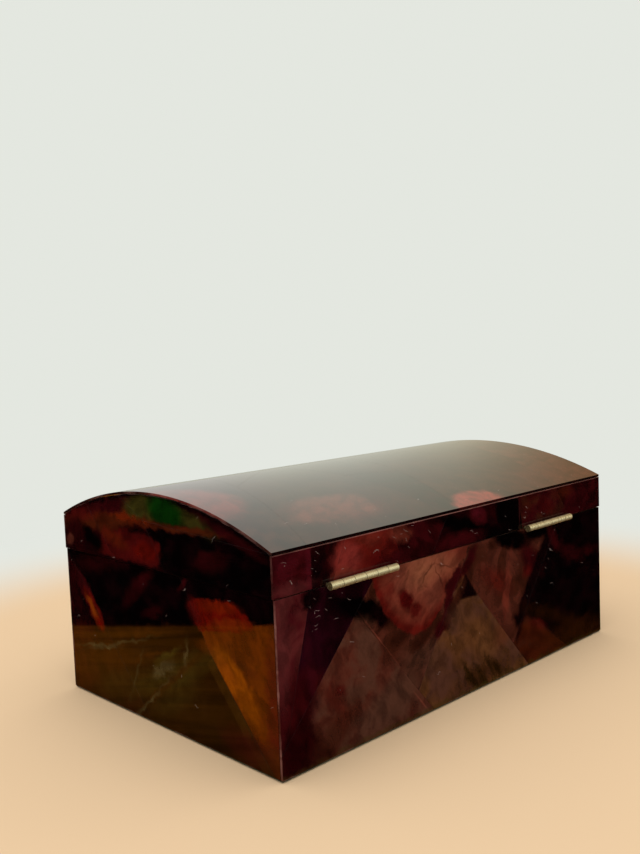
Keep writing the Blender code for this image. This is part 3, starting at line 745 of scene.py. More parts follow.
def along(seam: Seam, share: float) -> Point:
    """Point at a share of the way along a seam."""
    (u0, v0), (u1, v1) = seam
    return (u0 + (u1 - u0) * share, v0 + (v1 - v0) * share)


def inside(point: Point, loop: Sequence[Point]) -> bool:
    """Whether a point lies inside a closed loop."""
    x, y = point
    found = False
    for (x0, y0), (x1, y1) in zip(loop, [*loop[1:], loop[0]]):
        if (y0 > y) != (y1 > y) and x < x0 + (x1 - x0) * (y - y0) / (y1 - y0):
            found = not found
    return found


def inset(loop: Sequence[Point], by: float) -> list[Point]:
    """Moves each side of a counterclockwise loop inwards.

    Args:
        loop: Corners of the loop.
        by: Distance to move.

    Returns:
        The corners of the smaller loop.
    """
    moved = []
    for before, here, after in zip([loop[-1], *loop[:-1]], loop, [*loop[1:], loop[0]]):
        first = (Vector(here) - Vector(before)).normalized()
        second = (Vector(after) - Vector(here)).normalized()
        normal = Vector((-first.y - second.y, first.x + second.x))
        share = max(0.12, normal.dot(Vector((-first.y, first.x))))
        moved.append(tuple(Vector(here) + normal * (by / share)))
    return moved


def boundary(triangles: Sequence[Sequence[int]]) -> list[int]:
    """Outer loop of a patch of triangles, as vertex numbers."""
    sides = {}
    for triangle in triangles:
        for a, b in zip(triangle, [*triangle[1:], triangle[0]]):
            sides[(a, b)] = True
    following = {a: b for a, b in sides if (b, a) not in sides}
    start = min(following)
    loop = [start]
    while following[loop[-1]] != start:
        loop.append(following[loop[-1]])
    return loop


def straightened(loop: Sequence[Point], limit: float = 1e-7) -> list[Point]:
    """Leaves out corners of a loop that lie on a straight line or on top of each other."""
    kept = []
    for before, here, after in zip([loop[-1], *loop[:-1]], loop, [*loop[1:], loop[0]]):
        first, second = Vector(here) - Vector(before), Vector(after) - Vector(here)
        if abs(first.x * second.y - first.y * second.x) > limit * max(first.length, second.length):
            kept.append(here)
    return kept


def cut_into_plates(outline: Sequence[Point], seams: Sequence[Seam]) -> list[list[Point]]:
    """Cuts the outline of a face along its seams.

    Args:
        outline: Corners of the face, counterclockwise.
        seams: The seams between the plates. They may run past the outline.

    Returns:
        The outline of each plate, counterclockwise.
    """
    points = [Vector(p) for p in outline]
    edges = [(i, (i + 1) % len(outline)) for i in range(len(outline))]
    for start, end in seams:
        edges.append((len(points), len(points) + 1))
        points.extend((Vector(start), Vector(end)))
    places, sides, faces, _, origins, _ = delaunay_2d_cdt(points, edges, [], 0, 1e-6, True)
    walls = {frozenset(side) for side, origin in zip(sides, origins) if origin}
    triangles = [list(face) for face in faces]
    by_side: dict[frozenset[int], list[int]] = {}
    for number, triangle in enumerate(triangles):
        for a, b in zip(triangle, [*triangle[1:], triangle[0]]):
            by_side.setdefault(frozenset((a, b)), []).append(number)
    left, plates = set(range(len(triangles))), []
    while left:
        queue, group = [min(left)], []
        while queue:
            number = queue.pop()
            if number not in left:
                continue
            left.discard(number)
            group.append(triangles[number])
            triangle = triangles[number]
            for a, b in zip(triangle, [*triangle[1:], triangle[0]]):
                if frozenset((a, b)) not in walls:
                    queue.extend(by_side[frozenset((a, b))])
        middle = sum((places[i] for i in group[0]), Vector((0.0, 0.0))) / 3
        if inside(tuple(middle), outline):
            plates.append(straightened([tuple(places[i]) for i in boundary(group)]))
    return plates


@dataclass(frozen=True)
class Plate:
    """Tones of one plate, found by a point inside it, in shares of the face."""

    at: Point
    body: Tone
    cloud: Tone
    grain: float = 0.0


@dataclass
class SolidMesh:
    """Closed plates or panels gathered in one mesh, with what their materials read from it."""

    name: str
    wrap: Wrap
    cuts: Sequence[float] = ()
    shape: bmesh.types.BMesh = field(default_factory=bmesh.new)

    def raise_panel(self, loop: Sequence[Point], rings: Sequence[Ring],
                    values: dict[str, Sequence[float]]) -> None:
        """Raises a closed panel from a loop.

        Args:
            loop: The panel's outline, counterclockwise, before it is wrapped.
            rings: Inset and height of each ring of its edge, from the foot to the top.
            values: Extra numbers for its points: grain angle, seed, body and cloud.
        """
        layers = self._layers()
        before = len(self.shape.verts)
        levels = []
        for number, (by, height) in enumerate(rings):
            ring = []
            for x, y in inset(loop, by):
                corner = self.shape.verts.new((x, y, height))
                corner[layers["seam"]] = 0.0 if number == len(rings) - 1 else 1.0
                ring.append(corner)
            levels.append(ring)
        self.shape.faces.new(list(reversed(levels[0])))
        for low, high in zip(levels, levels[1:]):
            count = len(low)
            for i in range(count):
                j = (i + 1) % count
                self.shape.faces.new((low[i], low[j], high[j], high[i]))
        self.shape.faces.new(levels[-1])
        self.shape.verts.ensure_lookup_table()
        for corner in self.shape.verts[before:]:
            for key, value in values.items():
                corner[layers[key]] = value

    def _layers(self) -> dict[str, Any]:
        """The mesh layers that carry numbers for the materials."""
        kept = self.shape.verts.layers
        floats, vectors, colours = kept.float, kept.float_vector, kept.float_color
        return {
            "seam": floats.get("plate_seam") or floats.new("plate_seam"),
            "turn": vectors.get("turn") or vectors.new("turn"),
            "body": colours.get("plate_body") or colours.new("plate_body"),
            "cloud": colours.get("plate_cloud") or colours.new("plate_cloud"),
        }

    def finish(self, material: bpy.types.Material, place_name: str) -> bpy.types.Object:
        """Cuts the panels where they bend, wraps them and makes the object.

        Args:
            material: Their material.
            place_name: Name of the attribute that holds the place on the face in millimetres.

        Returns:
            The object, at the origin.
        """
        for cut in self.cuts:
            bmesh.ops.bisect_plane(
                self.shape, geom=[*self.shape.verts, *self.shape.edges, *self.shape.faces],
                plane_co=(0, cut, 0), plane_no=(0, 1, 0), dist=1e-6)
        turn = self._layers()["turn"]
        place = self.shape.verts.layers.float_vector.new(place_name)
        grain = self.shape.verts.layers.float_vector.new("shell_grain")
        for corner in self.shape.verts:
            x, y, height = corner.co
            angle, seed, _ = corner[turn]
            corner[place] = (x * MM, y * MM, seed)
            across = x * math.cos(angle) + y * math.sin(angle)
            back = y * math.cos(angle) - x * math.sin(angle)
            corner[grain] = (across * MM + seed * 61.0, back * MM - seed * 37.0, seed * 13.0)
            corner.co = self.wrap(x, y, height)
        bmesh.ops.recalc_face_normals(self.shape, faces=self.shape.faces)
        mesh = bpy.data.meshes.new(self.name)
        self.shape.to_mesh(mesh)
        self.shape.free()
        mesh.attributes.remove(mesh.attributes["turn"])
        mesh.polygons.foreach_set("use_smooth", [True] * len(mesh.polygons))
        mesh.set_sharp_from_angle(angle=math.radians(30))
        mesh.materials.append(material)
        made = bpy.data.objects.new(self.name, mesh)
        bpy.context.scene.collection.objects.link(made)
        return made


def wall_wrap(axis: int, side: int, inner: float) -> Wrap:
    """Lays a flat panel on an upright wall.

    Args:
        axis: 0 where the wall faces along X, 1 where it faces along Y.
        side: 1 for the right end and the back, -1 for the opposite walls.
        inner: Distance of the panel's inner side from the middle of the box.

    Returns:
        A function from a place across, a height and a thickness to a point.
    """
    def place(across: float, up: float, out: float) -> Vector:
        point = Vector((0.0, 0.0, up))
        point[axis] = side * (inner + out)
        point[1 - axis] = side * across
        return point
    return place


def crown_wrap(inner_depth: float) -> Wrap:
    """Lays a flat panel on the crown. The depth is that of its inner side below the outside."""
    def place(across: float, back: float, out: float) -> Vector:
        return Vector((across, back, BOX.crown_height(back, inner_depth - out)))
    return place


def level_outline(half_width: float, foot: float, top: float) -> list[Point]:
    """Outline of a wall with a level top, counterclockwise."""
    return [(-half_width, foot), (half_width, foot), (half_width, top), (-half_width, top)]


def arched_outline(half_width: float, foot: float, depth: float, steps: int = 48) -> list[Point]:
    """Outline of a wall whose top follows the crown at a depth, counterclockwise."""
    shares = [1.0 - 2.0 * i / steps for i in range(steps + 1)]
    arc = [(half_width * s, BOX.crown_height(half_width * s, depth)) for s in shares]
    return [(-half_width, foot), (half_width, foot), *arc]


@dataclass(frozen=True)
class Face:
    """One face of the box, with its seams in shares and its plates."""

    outline: tuple[Point, ...]
    half_width: float
    foot: float
    top: float
    seams: tuple[Seam, ...]
    plates: tuple[Plate, ...]
    finish: ShellFinish

    def spot(self, point: Point) -> Point:
        """A place in metres from shares of the face."""
        return (point[0] * self.half_width, self.foot + point[1] * (self.top - self.foot))

    def lay(self, name: str, wrap: Wrap, material: bpy.types.Material,
            cuts: Sequence[float] = ()) -> bpy.types.Object:
        """Makes the plates of this face as one object.

        Args:
            name: Name of the object.
            wrap: How the flat plates lie on the box.
            material: Their material.
            cuts: Where to cut them across so that they can bend.

        Returns:
            The object.
        """
        gap, soft, line = 0.00002, 0.00002, 0.00020
        thick = BOX.shell
        rings = ((gap, 0.0), (gap, thick - soft), (gap + soft, thick), (gap + soft + line, thick))
        solid = SolidMesh(name, wrap, cuts)
        seams = [(self.spot(a), self.spot(b)) for a, b in self.seams]
        for number, loop in enumerate(cut_into_plates(self.outline, seams)):
            found = [p for p in self.plates if inside(self.spot(p.at), loop)]
            plate = found[0] if found else self.plates[-1]
            values = {"turn": (math.radians(plate.grain), 1.0 + number, 0.0),
                      "body": plate.body.rgba, "cloud": plate.cloud.rgba}
            solid.raise_panel(loop, rings, values)
            LOG.info("%s plate %d: %s, %d corners", name, number + 1, plate.body.name.lower(), len(loop))
        return solid.finish(material, "shell_place")


# The seams and plates of the faces

LONG: Seam = ((1.03, 0.08), (0.51, 1.03))
TRIANGLE: Seam = (along(LONG, 0.75), (0.225, -0.03))
TIP: Seam = ((-0.02, 1.03), along(TRIANGLE, 0.76))
FAN: Seam = (along(TIP, 0.22), (-0.41, -0.03))
BAND: Seam = ((-0.665, 1.03), along(FAN, 0.73))
BASE_LONG_SEAMS: tuple[Seam, ...] = (
    LONG,
    ((0.84, 1.03), along(LONG, 0.10)),
    TRIANGLE,
    TIP,
    FAN,
    BAND,
    (along(BAND, 0.78), (-0.73, -0.03)),
    ((-0.80, 1.03), (-1.03, 0.42)),
)
LID_LONG_SEAMS: tuple[Seam, ...] = (
    ((0.835, 1.10), (0.835, -0.10)),
    ((0.67, 1.10), (0.75, -0.10)),
    ((0.445, 1.10), (0.385, -0.10)),
    ((0.11, 1.10), (0.235, -0.10)),
    ((-0.20, 1.10), (-0.195, -0.10)),
    ((-0.34, 1.10), (-0.37, -0.10)),
    ((-0.62, 1.10), (-0.74, -0.10)),
)
END_BEND: Point = (0.483, 0.568)
BASE_END_SEAMS: tuple[Seam, ...] = (
    ((0.208, 1.03), END_BEND),
    (END_BEND, (0.98, -0.03)),
    ((-1.03, 1.01), (-0.10, -0.03)),
)
LID_CORNER: Point = (-0.10, 0.62)
LID_END_SEAMS: tuple[Seam, ...] = (
    ((-0.45, 1.02), LID_CORNER),
    (LID_CORNER, (1.03, 0.50)),
    (LID_CORNER, (0.12, -0.05)),
    ((-0.80, 0.90), (-0.40, -0.05)),
)
CROWN_LONG: tuple[Seam, ...] = (
    ((0.86, 1.05), (0.50, -1.05)),
    ((0.14, 1.05), (0.42, -1.05)),
    ((0.06, 1.05), (-0.22, -1.05)),
    ((-0.55, 1.05), (-0.30, -1.05)),
    ((-0.62, 1.05), (-0.93, -1.05)),
)
CROWN_SEAMS: tuple[Seam, ...] = (
    *CROWN_LONG,
    (along(CROWN_LONG[0], 0.40), along(CROWN_LONG[1], 0.62)),
    (along(CROWN_LONG[1], 0.34), along(CROWN_LONG[2], 0.30)),
    (along(CROWN_LONG[2], 0.66), along(CROWN_LONG[3], 0.45)),
    (along(CROWN_LONG[3], 0.60), along(CROWN_LONG[4], 0.36)),
    (along(CROWN_LONG[4], 0.50), (-1.05, -0.20)),
)

BASE_LONG_PLATES = (
    Plate((0.97, 0.70), Tone.MAUVE, Tone.BURGUNDY, 80),
    Plate((0.80, 0.70), Tone.PLUM, Tone.INK, 75),
    Plate((0.65, 0.30), Tone.CHESTNUT, Tone.COCOA, 60),
    Plate((0.35, 0.70), Tone.UMBER, Tone.CHESTNUT, -35),
    Plate((0.00, 0.20), Tone.TOBACCO, Tone.COCOA, 62),
    Plate((-0.25, 0.70), Tone.CHESTNUT, Tone.UMBER, 50),
    Plate((-0.42, 0.15), Tone.RUSSET, Tone.UMBER, 20),
    Plate((-0.75, 0.50), Tone.BLACK, Tone.INK, -20),
    Plate((-0.97, 0.90), Tone.BLACK, Tone.INK, 15),
)
LID_LONG_PLATES = (
    Plate((0.92, 0.5), Tone.WINE, Tone.BURGUNDY, 10),
    Plate((0.78, 0.5), Tone.INK, Tone.OXBLOOD, 90),
    Plate((0.55, 0.5), Tone.CRIMSON, Tone.RUST, 0),
    Plate((0.30, 0.5), Tone.OXBLOOD, Tone.WINE, 30),
    Plate((0.00, 0.5), Tone.OXBLOOD, Tone.INK, 0),
    Plate((-0.28, 0.5), Tone.BLACK, Tone.INK, 60),
    Plate((-0.50, 0.5), Tone.WINE, Tone.UMBER, 10),
    Plate((-0.85, 0.5), Tone.OXBLOOD, Tone.WINE, -20),
)
BASE_END_PLATES = (
    Plate((0.80, 0.60), Tone.BLACK, Tone.INK, -60),
    Plate((0.00, 0.50), Tone.BLACK, Tone.INK, 20),
    Plate((-0.80, 0.20), Tone.INK, Tone.OXBLOOD, -45),
)
LID_END_PLATES = (
    Plate((0.20, 0.80), Tone.INK, Tone.BLACK, 10),
    Plate((-0.20, 0.30), Tone.INK, Tone.OXBLOOD, 35),
    Plate((0.60, 0.25), Tone.BLACK, Tone.INK, 0),
    Plate((-0.85, 0.20), Tone.OXBLOOD, Tone.INK, -70),
)
CROWN_PLATES = (
    Plate((0.90, 0.00), Tone.OXBLOOD, Tone.UMBER, 60),
    Plate((0.45, 0.70), Tone.UMBER, Tone.OXBLOOD, 30),
    Plate((0.10, 0.60), Tone.INK, Tone.OXBLOOD, 0),
    Plate((-0.35, 0.60), Tone.OXBLOOD, Tone.UMBER, -40),
    Plate((-0.80, 0.60), Tone.UMBER, Tone.CHESTNUT, 20),
    Plate((0.0, -0.6), Tone.OXBLOOD, Tone.UMBER, 20),
)

# Patches on the base's long walls, in millimetres, from the right end of the back to its left end

BASE_LONG_PATCHES = (
    Blot((141, 30), (15, 13), Tone.WINE, soft=6),
    Blot((137, 44), (14, 8), Tone.WINE, soft=4, strength=0.6),
    Blot((129, 52), (2.5, 17), Tone.MAGENTA, soft=2, turn=-6, strength=0.2),
    Blot((147, 66), (4, 24), Tone.PINK, soft=4, strength=0.5),
    Facet(((152, 16), (137, 30), (112, 1), (152, 0)), Tone.OXBLOOD, soft=4, edge=Edge.RAGGED),
    Blot((113, 13), (19, 9), Tone.UMBER, turn=-35, soft=6, strength=0.85),
    Blot((125, 62), (4.5, 24), Tone.PLUM, turn=6, soft=3.5, strength=0.8),
    Blot((127, 84), (6, 5), Tone.INK, soft=2),
    Blot((92, 71), (21, 5.5), Tone.BLACK, turn=21, soft=2),
    Blot((78, 63), (7, 4.5), Tone.INK, turn=35, soft=3),
    Blot((92, 58), (8, 8), Tone.COCOA, soft=5, strength=0.6),
    Blot((116, 32), (16, 5), Tone.RUST, turn=55, soft=4, strength=0.35),
    Blot((109, 33), (4, 2.5), Tone.CRIMSON, turn=30, soft=1.5, strength=0.7),
    Blot((72, 15), (24, 12), Tone.COCOA, turn=-20, soft=6),
    Blot((76, 48), (19, 0.45), Tone.BLUSH, turn=50.4, soft=0.35, edge=Edge.STRAIGHT, strength=0.6),
    Blot((47, 9), (8, 0.5), Tone.BLUSH, turn=50, soft=0.35, edge=Edge.STRAIGHT, strength=0.6),
    Blot((66, 48), (14, 9), Tone.UMBER, turn=-30, soft=4, strength=0.7),
    Blot((46, 36), (16, 8), Tone.COCOA, soft=5, strength=0.6),
    Blot((46, 43), (12, 4), Tone.UMBER, turn=-10, soft=2.5),
    Blot((53, 86), (29, 40), Tone.RUST, turn=-26, soft=1.0),
    Facet(((30, 92), (-4, 91), (8, 79), (21, 70)), Tone.CORAL, soft=1.2, edge=Edge.RAGGED),
    Blot((51, 86), (26, 34), Tone.CORAL, turn=-26, soft=3),
    Blot((45, 84), (24, 19), Tone.BLUSH, turn=-20, soft=6, strength=0.7),
    Blot((33, 83), (23, 7.5), Tone.TAN, turn=12, soft=4, strength=0.5),
    Blot((32, 66), (9, 8), Tone.BLUSH, turn=-20, soft=4, strength=0.6),
    Blot((44, 79), (11, 7), Tone.TAN, soft=5, strength=0.7),
    Blot((57, 68), (7, 4.5), Tone.CRIMSON, turn=35, soft=2),
    Blot((49, 61), (4.5, 4), Tone.CRIMSON, soft=2, strength=0.9),
    Blot((70, 76), (5, 3), Tone.RUST, turn=50, soft=2, strength=0.6),
    Blot((38, 80), (9, 0.5), Tone.UMBER, turn=-42, soft=0.4, strength=0.6),
    Blot((28, 75), (8, 0.5), Tone.UMBER, turn=60, soft=0.4, strength=0.6),
    Blot((22, 80), (9, 0.45), Tone.UMBER, turn=20, soft=0.4, strength=0.5),
    Blot((27, 46), (9, 4), Tone.WINE, turn=140, soft=1.5),
    Blot((20.5, 57), (13, 4.2), Tone.WINE, turn=100, soft=1.5),
    Blot((14, 70), (10, 4.5), Tone.WINE, turn=140, soft=1.5),
    Blot((0.5, 78.5), (12, 3.6), Tone.WINE, turn=132, soft=2),
    Facet(((14, 58), (4, 72), (-7, 57)), Tone.INK, soft=1.0),
    Blot((14, 57), (14, 3.5), Tone.UMBER, turn=-50, soft=2),
    Blot((8, 44), (13, 8), Tone.COCOA, turn=30, soft=5, strength=0.7),
    Blot((-8, 31), (20, 10), Tone.TOBACCO, turn=35, soft=6),
    Blot((-12, 26), (9, 5), Tone.STRAW, turn=60, soft=4, strength=0.2),
    Blot((28, 20), (18, 12), Tone.COCOA, turn=50, soft=6, strength=0.7),
    Blot((-32, 29), (8, 9), Tone.CHESTNUT, turn=40, soft=4, strength=0.5),
    Blot((-10, 8), (25, 6), Tone.BRONZE, turn=-4, soft=4, strength=0.5),
    Blot((4, 14), (9, 1.8), Tone.MOSS, turn=52, soft=1.4),
    Blot((1, 8), (9, 2.0), Tone.MOSS, turn=44, soft=1.6),
    Blot((-7, 11), (10, 1.6), Tone.MOSS, turn=55, soft=1.4, strength=0.9),
    Blot((-11, 4), (6, 3.0), Tone.MOSS, turn=30, soft=2),
    Blot((-18, 11), (9, 1.6), Tone.MOSS, turn=60, soft=1.4, strength=0.9),
    Blot((-25, 8), (8, 2.4), Tone.MOSS, turn=50, soft=1.8),
    Blot((-33, 5), (5, 2.0), Tone.MOSS, turn=40, soft=2, strength=0.7),
    Blot((-26, 62), (16, 6), Tone.RUST, turn=30, soft=4, strength=0.5),
    Blot((-24, 84), (5, 4), Tone.UMBER, soft=2),
    Blot((-42, 85), (21, 6.5), Tone.BLACK, turn=21, soft=2),
    Blot((-38, 56), (19, 3.2), Tone.CORAL, turn=103, soft=1.6, strength=0.8),
    Blot((-45, 68), (6, 8), Tone.CHESTNUT, soft=3, strength=0.8),
    Blot((-54, 56), (6, 8), Tone.UMBER, soft=3, strength=0.8),
    Blot((-65, 67), (14, 8), Tone.WINE, turn=40, soft=4),
    Blot((-60, 61), (5, 4), Tone.CRIMSON, soft=2, strength=0.8),
    Facet(((-83, 83), (-104, 95), (-46, 18), (-48, 40)), Tone.INK, soft=2.0, edge=Edge.RAGGED),
    Blot((-73, 84), (18, 6), Tone.BLACK, soft=2.5),
    Blot((-48, 33), (6, 3), Tone.INK, turn=30, soft=2),
    Blot((-66, 20), (16, 6), Tone.RUSSET, turn=25, soft=3),
    Blot((-70, 25), (9, 2.5), Tone.RUST, turn=25, soft=2, strength=0.5),
    Blot((-80, 19), (24, 0.6), Tone.CHESTNUT, turn=35, soft=0.4, edge=Edge.STRAIGHT, strength=0.3),
    Blot((-86, 27), (30, 4), Tone.BRONZE, turn=21, soft=3.5, strength=0.45),
    # Wide bronze wash along the foot at this end: partly plate tone, partly a painted reflection of the
    # table.
    Blot((-118, 8), (40, 8), Tone.BRONZE, turn=5, soft=6, strength=0.7),
    Blot((-90, 78), (10, 3.5), Tone.WINE, turn=58, soft=2.5, strength=0.9),
    Blot((-108, 65), (17, 3.5), Tone.WINE, turn=24, soft=3, strength=0.7),
    Blot((-136, 61), (17, 3), Tone.OXBLOOD, soft=3),
    Blot((0, 1.8), (150, 1.4), Tone.OLIVE, soft=0.9, strength=0.4),
)

# Patches on the lid's long walls, its skirts

LID_LONG_PATCHES = (
    Blot((139, 91.5), (12, 2.8), Tone.PINK, soft=2.2, strength=0.4),
    Blot((144, 106), (8, 4), Tone.MAGENTA, soft=3, strength=0.2),
    Blot((127.5, 101), (1.6, 12), Tone.MAGENTA, soft=1.4, edge=Edge.STRAIGHT, strength=0.35),
    Facet(((112, 89), (106, 112), (78, 112), (70, 89)), Tone.RUST, soft=2, edge=Edge.RAGGED),
    Blot((101, 99), (10, 9), Tone.SALMON, turn=20, soft=4, strength=0.75),
    Blot((104, 92), (8, 3), Tone.CORAL, soft=2, strength=0.7),
    Blot((84, 107), (10, 4), Tone.CORAL, turn=10, soft=2.5, strength=0.35),
    Blot((78, 94), (8, 4), Tone.CRIMSON, soft=2.5),
    Blot((60, 105), (9, 4.5), Tone.CORAL, turn=10, soft=2.5, strength=0.7),
    Blot((62, 93), (10, 3), Tone.WINE, soft=2),
    Blot((-9, 96), (46, 4.8), Tone.BLACK, turn=19, soft=2),
    Blot((10, 93), (22, 4), Tone.WINE, soft=2.5),
    Blot((-10, 105), (8, 5), Tone.BURGUNDY, turn=25, soft=2),
    Blot((-9, 107), (4, 3), Tone.MAGENTA, soft=2, strength=0.3),
    Blot((-38, 104), (11, 9), Tone.BLACK, soft=2),
    Blot((-52.5, 101), (0.5, 12), Tone.MAUVE, soft=0.5, edge=Edge.STRAIGHT, strength=0.4),
    Blot((-62, 105), (9, 7), Tone.RUSSET, soft=3, strength=0.3),
    Blot((-84, 98), (10, 5), Tone.CRIMSON, turn=20, soft=3, strength=0.5),
    Blot((-104, 105), (10, 4), Tone.RUSSET, soft=3, strength=0.5),
    # Thin pale line just under the eave: partly edge wear, partly a painted highlight on the arris.
    Blot((0, 109.1), (151, 0.22), Tone.WORN_EDGE, soft=0.16, edge=Edge.STRAIGHT, strength=0.6),
)

# Patches on the base's ends

BASE_END_PATCHES = (
    Facet(((38, 63), (47, 50), (94, 0), (97, 0), (97, 77)), Tone.GINGER, soft=0.8),
    Blot((66, 60), (28, 5.5), Tone.GINGER, turn=10, soft=2),
    Blot((66, 52), (14, 2.5), Tone.RUSSET, turn=-12, soft=2, strength=0.7),
    Blot((66, 41), (21, 7.5), Tone.AMBER, turn=-47, soft=2.5),
    Blot((58, 47), (9, 4), Tone.TANGERINE, turn=-40, soft=2, strength=0.6),
    Blot((94, 30), (6, 34), Tone.CRIMSON, soft=3, strength=0.8),
    Blot((91, 8), (8, 9), Tone.RUSSET, soft=3),
    Facet(((47, 50), (42, 46), (86, -2), (94, 0)), Tone.MOSS, soft=0.5),
    Facet(((28, 75), (38, 62), (82, 71), (76, 77), (62, 82), (33, 78)), Tone.EMBER, soft=1.2,
          edge=Edge.RAGGED),
    Blot((33, 72), (7, 5), Tone.CRIMSON, turn=-50, soft=3, strength=0.7),
    Blot((54, 77.5), (14, 3), Tone.FLAME, turn=6, soft=2, strength=0.6),
    Blot((62, 70), (16, 2.5), Tone.TANGERINE, turn=10, soft=1.5, strength=0.3),
    Blot((-75, 62), (20, 5.2), Tone.WINE, turn=-47, soft=1.2),
    Blot((-70, 56.5), (14, 5), Tone.EMBER, turn=-47, soft=1.5, strength=0.8),
    Blot((-70, 54.5), (10, 2.6), Tone.TANGERINE, turn=-47, soft=1.5, strength=0.8),
    Blot((-62, 47), (5, 3), Tone.EMBER, turn=-30, soft=1.5),
    Blot((-19, 76), (20, 4.5), Tone.OXBLOOD, turn=38, soft=2),
    Blot((-12, 82), (7, 2), Tone.WINE, turn=38, soft=1.5, strength=0.6),
    Blot((-7, 64), (9, 3), Tone.OXBLOOD, turn=15, soft=2),
    Blot((24, 84.5), (6, 2), Tone.WINE, turn=38, soft=0.8, strength=0.8),
    Blot((-58, 85), (30, 5), Tone.OXBLOOD, turn=10, soft=3, strength=0.8),
    Blot((-92, 66), (5, 14), Tone.OXBLOOD, soft=3),
    Blot((-86, 24), (16, 17), Tone.RUSSET, soft=6, strength=0.7),
    # The moss, bronze and olive washes and streaks over the lower part are partly plate tone and partly a
    # painted reflection of the table.
    Blot((-20, 22), (75, 20), Tone.MOSS, soft=8, strength=0.6),
    Blot((-52, 31), (26, 8), Tone.BRONZE, turn=6, soft=4, strength=0.8),
    Blot((-30, 48), (50, 2.5), Tone.BRONZE, turn=13, soft=2, strength=0.9),
    Blot((10, 33), (40, 7), Tone.OLIVE, turn=25, soft=4, strength=0.5),
    Blot((-66, 33), (18, 0.9), Tone.PALE_OLIVE, turn=10, soft=0.8, strength=0.8),
    Blot((-46, 38), (30, 0.8), Tone.PALE_OLIVE, turn=17, soft=0.8, strength=0.6),
    Blot((2, 34), (11, 3.5), Tone.PALE_OLIVE, turn=28, soft=1.8, strength=0.9),
    Blot((6, 42), (12, 2), Tone.OLIVE, turn=30, soft=1.5, strength=0.8),
    Blot((-6, 18), (30, 1.0), Tone.PALE_OLIVE, turn=38, soft=0.8, strength=0.7),
    Blot((8, 28), (30, 2.0), Tone.BRONZE, turn=36, soft=1.6, strength=0.9),
    Blot((-22, 34), (24, 1.2), Tone.BRONZE, turn=22, soft=1.0, strength=0.9),
    Blot((-14, 11), (26, 0.8), Tone.PALE_OLIVE, turn=42, soft=0.7, strength=0.6),
    Blot((24, 47), (7, 1.4), Tone.PALE_OLIVE, turn=80, soft=1.2, strength=0.7),
    Blot((-26, 24), (14, 0.9), Tone.PALE_OLIVE, turn=62, soft=0.8, strength=0.5),
    Blot((-44, 14), (22, 8), Tone.OLIVE, turn=20, soft=5, strength=0.25),
    Blot((12, 22), (24, 8), Tone.OLIVE, turn=35, soft=5, strength=0.3),
    Blot((72, 10), (18, 8), Tone.WINE, turn=-10, soft=4, strength=0.7),
)

# Patches on the lid's ends, under the arch

LID_END_PATCHES = (
    Blot((-45, 113), (52, 6.5), Tone.RUSSET, turn=9, soft=2.5),
    Blot((-75, 112), (18, 4), Tone.CRIMSON, turn=10, soft=2.5, strength=0.8),
    Blot((-21, 115), (22, 3.2), Tone.ORANGE, turn=-3, soft=1.5),
    Blot((-54, 115), (14, 2), Tone.ORANGE, turn=12, soft=1.5, strength=0.7),
    Blot((-18, 115), (13, 2), Tone.FLAME, turn=-3, soft=1.5, strength=0.35),
    Facet(((-58, 91), (4, 90.5), (6, 104), (-10, 108), (-52, 107)), Tone.CRIMSON, soft=1.2,
          edge=Edge.RAGGED, strength=0.8),
    Blot((-40, 102), (13, 4.5), Tone.ORANGE, turn=-15, soft=2.5, strength=0.6),
    Blot((-8, 98), (12, 5), Tone.EMBER, turn=5, soft=2.5, strength=0.6),
    Blot((-40, 120), (28, 3.5), Tone.WINE, turn=10, soft=2),
    Blot((-11, 122), (16, 6), Tone.OLIVE, turn=5, soft=2.5),
    Blot((36, 119), (17, 3.5), Tone.OLIVE, turn=-14, soft=2.5, strength=0.8),
    Blot((12, 122), (16, 7), Tone.BOTTLE_GREEN, turn=-8, soft=2.5),
    Blot((26, 114), (34, 2), Tone.RUSSET, turn=1, soft=1.2),
    Blot((66, 115), (26, 2.5), Tone.WINE, turn=-16, soft=2, strength=0.7),
    Blot((50, 100), (13, 5), Tone.OXBLOOD, turn=12, soft=3),
    Blot((46, 102), (6, 2.5), Tone.WINE, turn=12, soft=2, strength=0.6),
    Blot((-66, 99), (14, 4.5), Tone.BLACK, turn=-25, soft=2),
    Blot((-84, 100), (10, 8), Tone.OXBLOOD, soft=3),
    Blot((-91, 95), (4, 4), Tone.CHESTNUT, soft=1.5, strength=0.7),
)

# Patches on the crown, with a dark line of painted shade along both eaves

CROWN_PATCHES = (
    Blot((150, 30), (27, 32), Tone.ROSE, turn=10, soft=5, strength=0.5),
    Blot((82, 74), (32, 13), Tone.CORAL, turn=-6, soft=8, strength=0.4),
    Facet(((122, 78), (104, 84), (60, 83), (56, 62), (94, 55)), Tone.BLUSH, soft=4, edge=Edge.RAGGED,
          strength=0.5),
    Blot((-14, 98), (22, 14), Tone.ROSE, soft=2.5),
    Blot((-110, 88), (50, 18), Tone.CHESTNUT, soft=9, strength=0.7),
    # Dark line on the crown plates' side edges at both eaves: painted shade, not a tone of the shell.
    Facet(((-152, 97.45), (152, 97.45), (152, 99), (-152, 99)), Tone.INK, soft=0.05),
    Facet(((-152, -99), (152, -99), (152, -97.45), (-152, -97.45)), Tone.INK, soft=0.05),
)

# Zones with more scratches

SCRATCHED_LONG = (
    Blot((118, 80), (20, 12), Tone.SCRATCH, soft=6),
    Blot((-70, 60), (30, 20), Tone.SCRATCH, soft=9, strength=0.3),
)
SCRATCHED_LID = (
    Blot((118, 100), (34, 12), Tone.SCRATCH, soft=6),
    Blot((58, 104), (20, 7), Tone.SCRATCH, soft=4),
    Blot((0, 95), (90, 5), Tone.SCRATCH, soft=3, strength=0.35),
)

SKIRT_TOP = BOX.crown_height(BOX.half_depth, BOX.skin)
PAST_TOP_MM = 120.0
PAST_FOOT_MM = 60.0


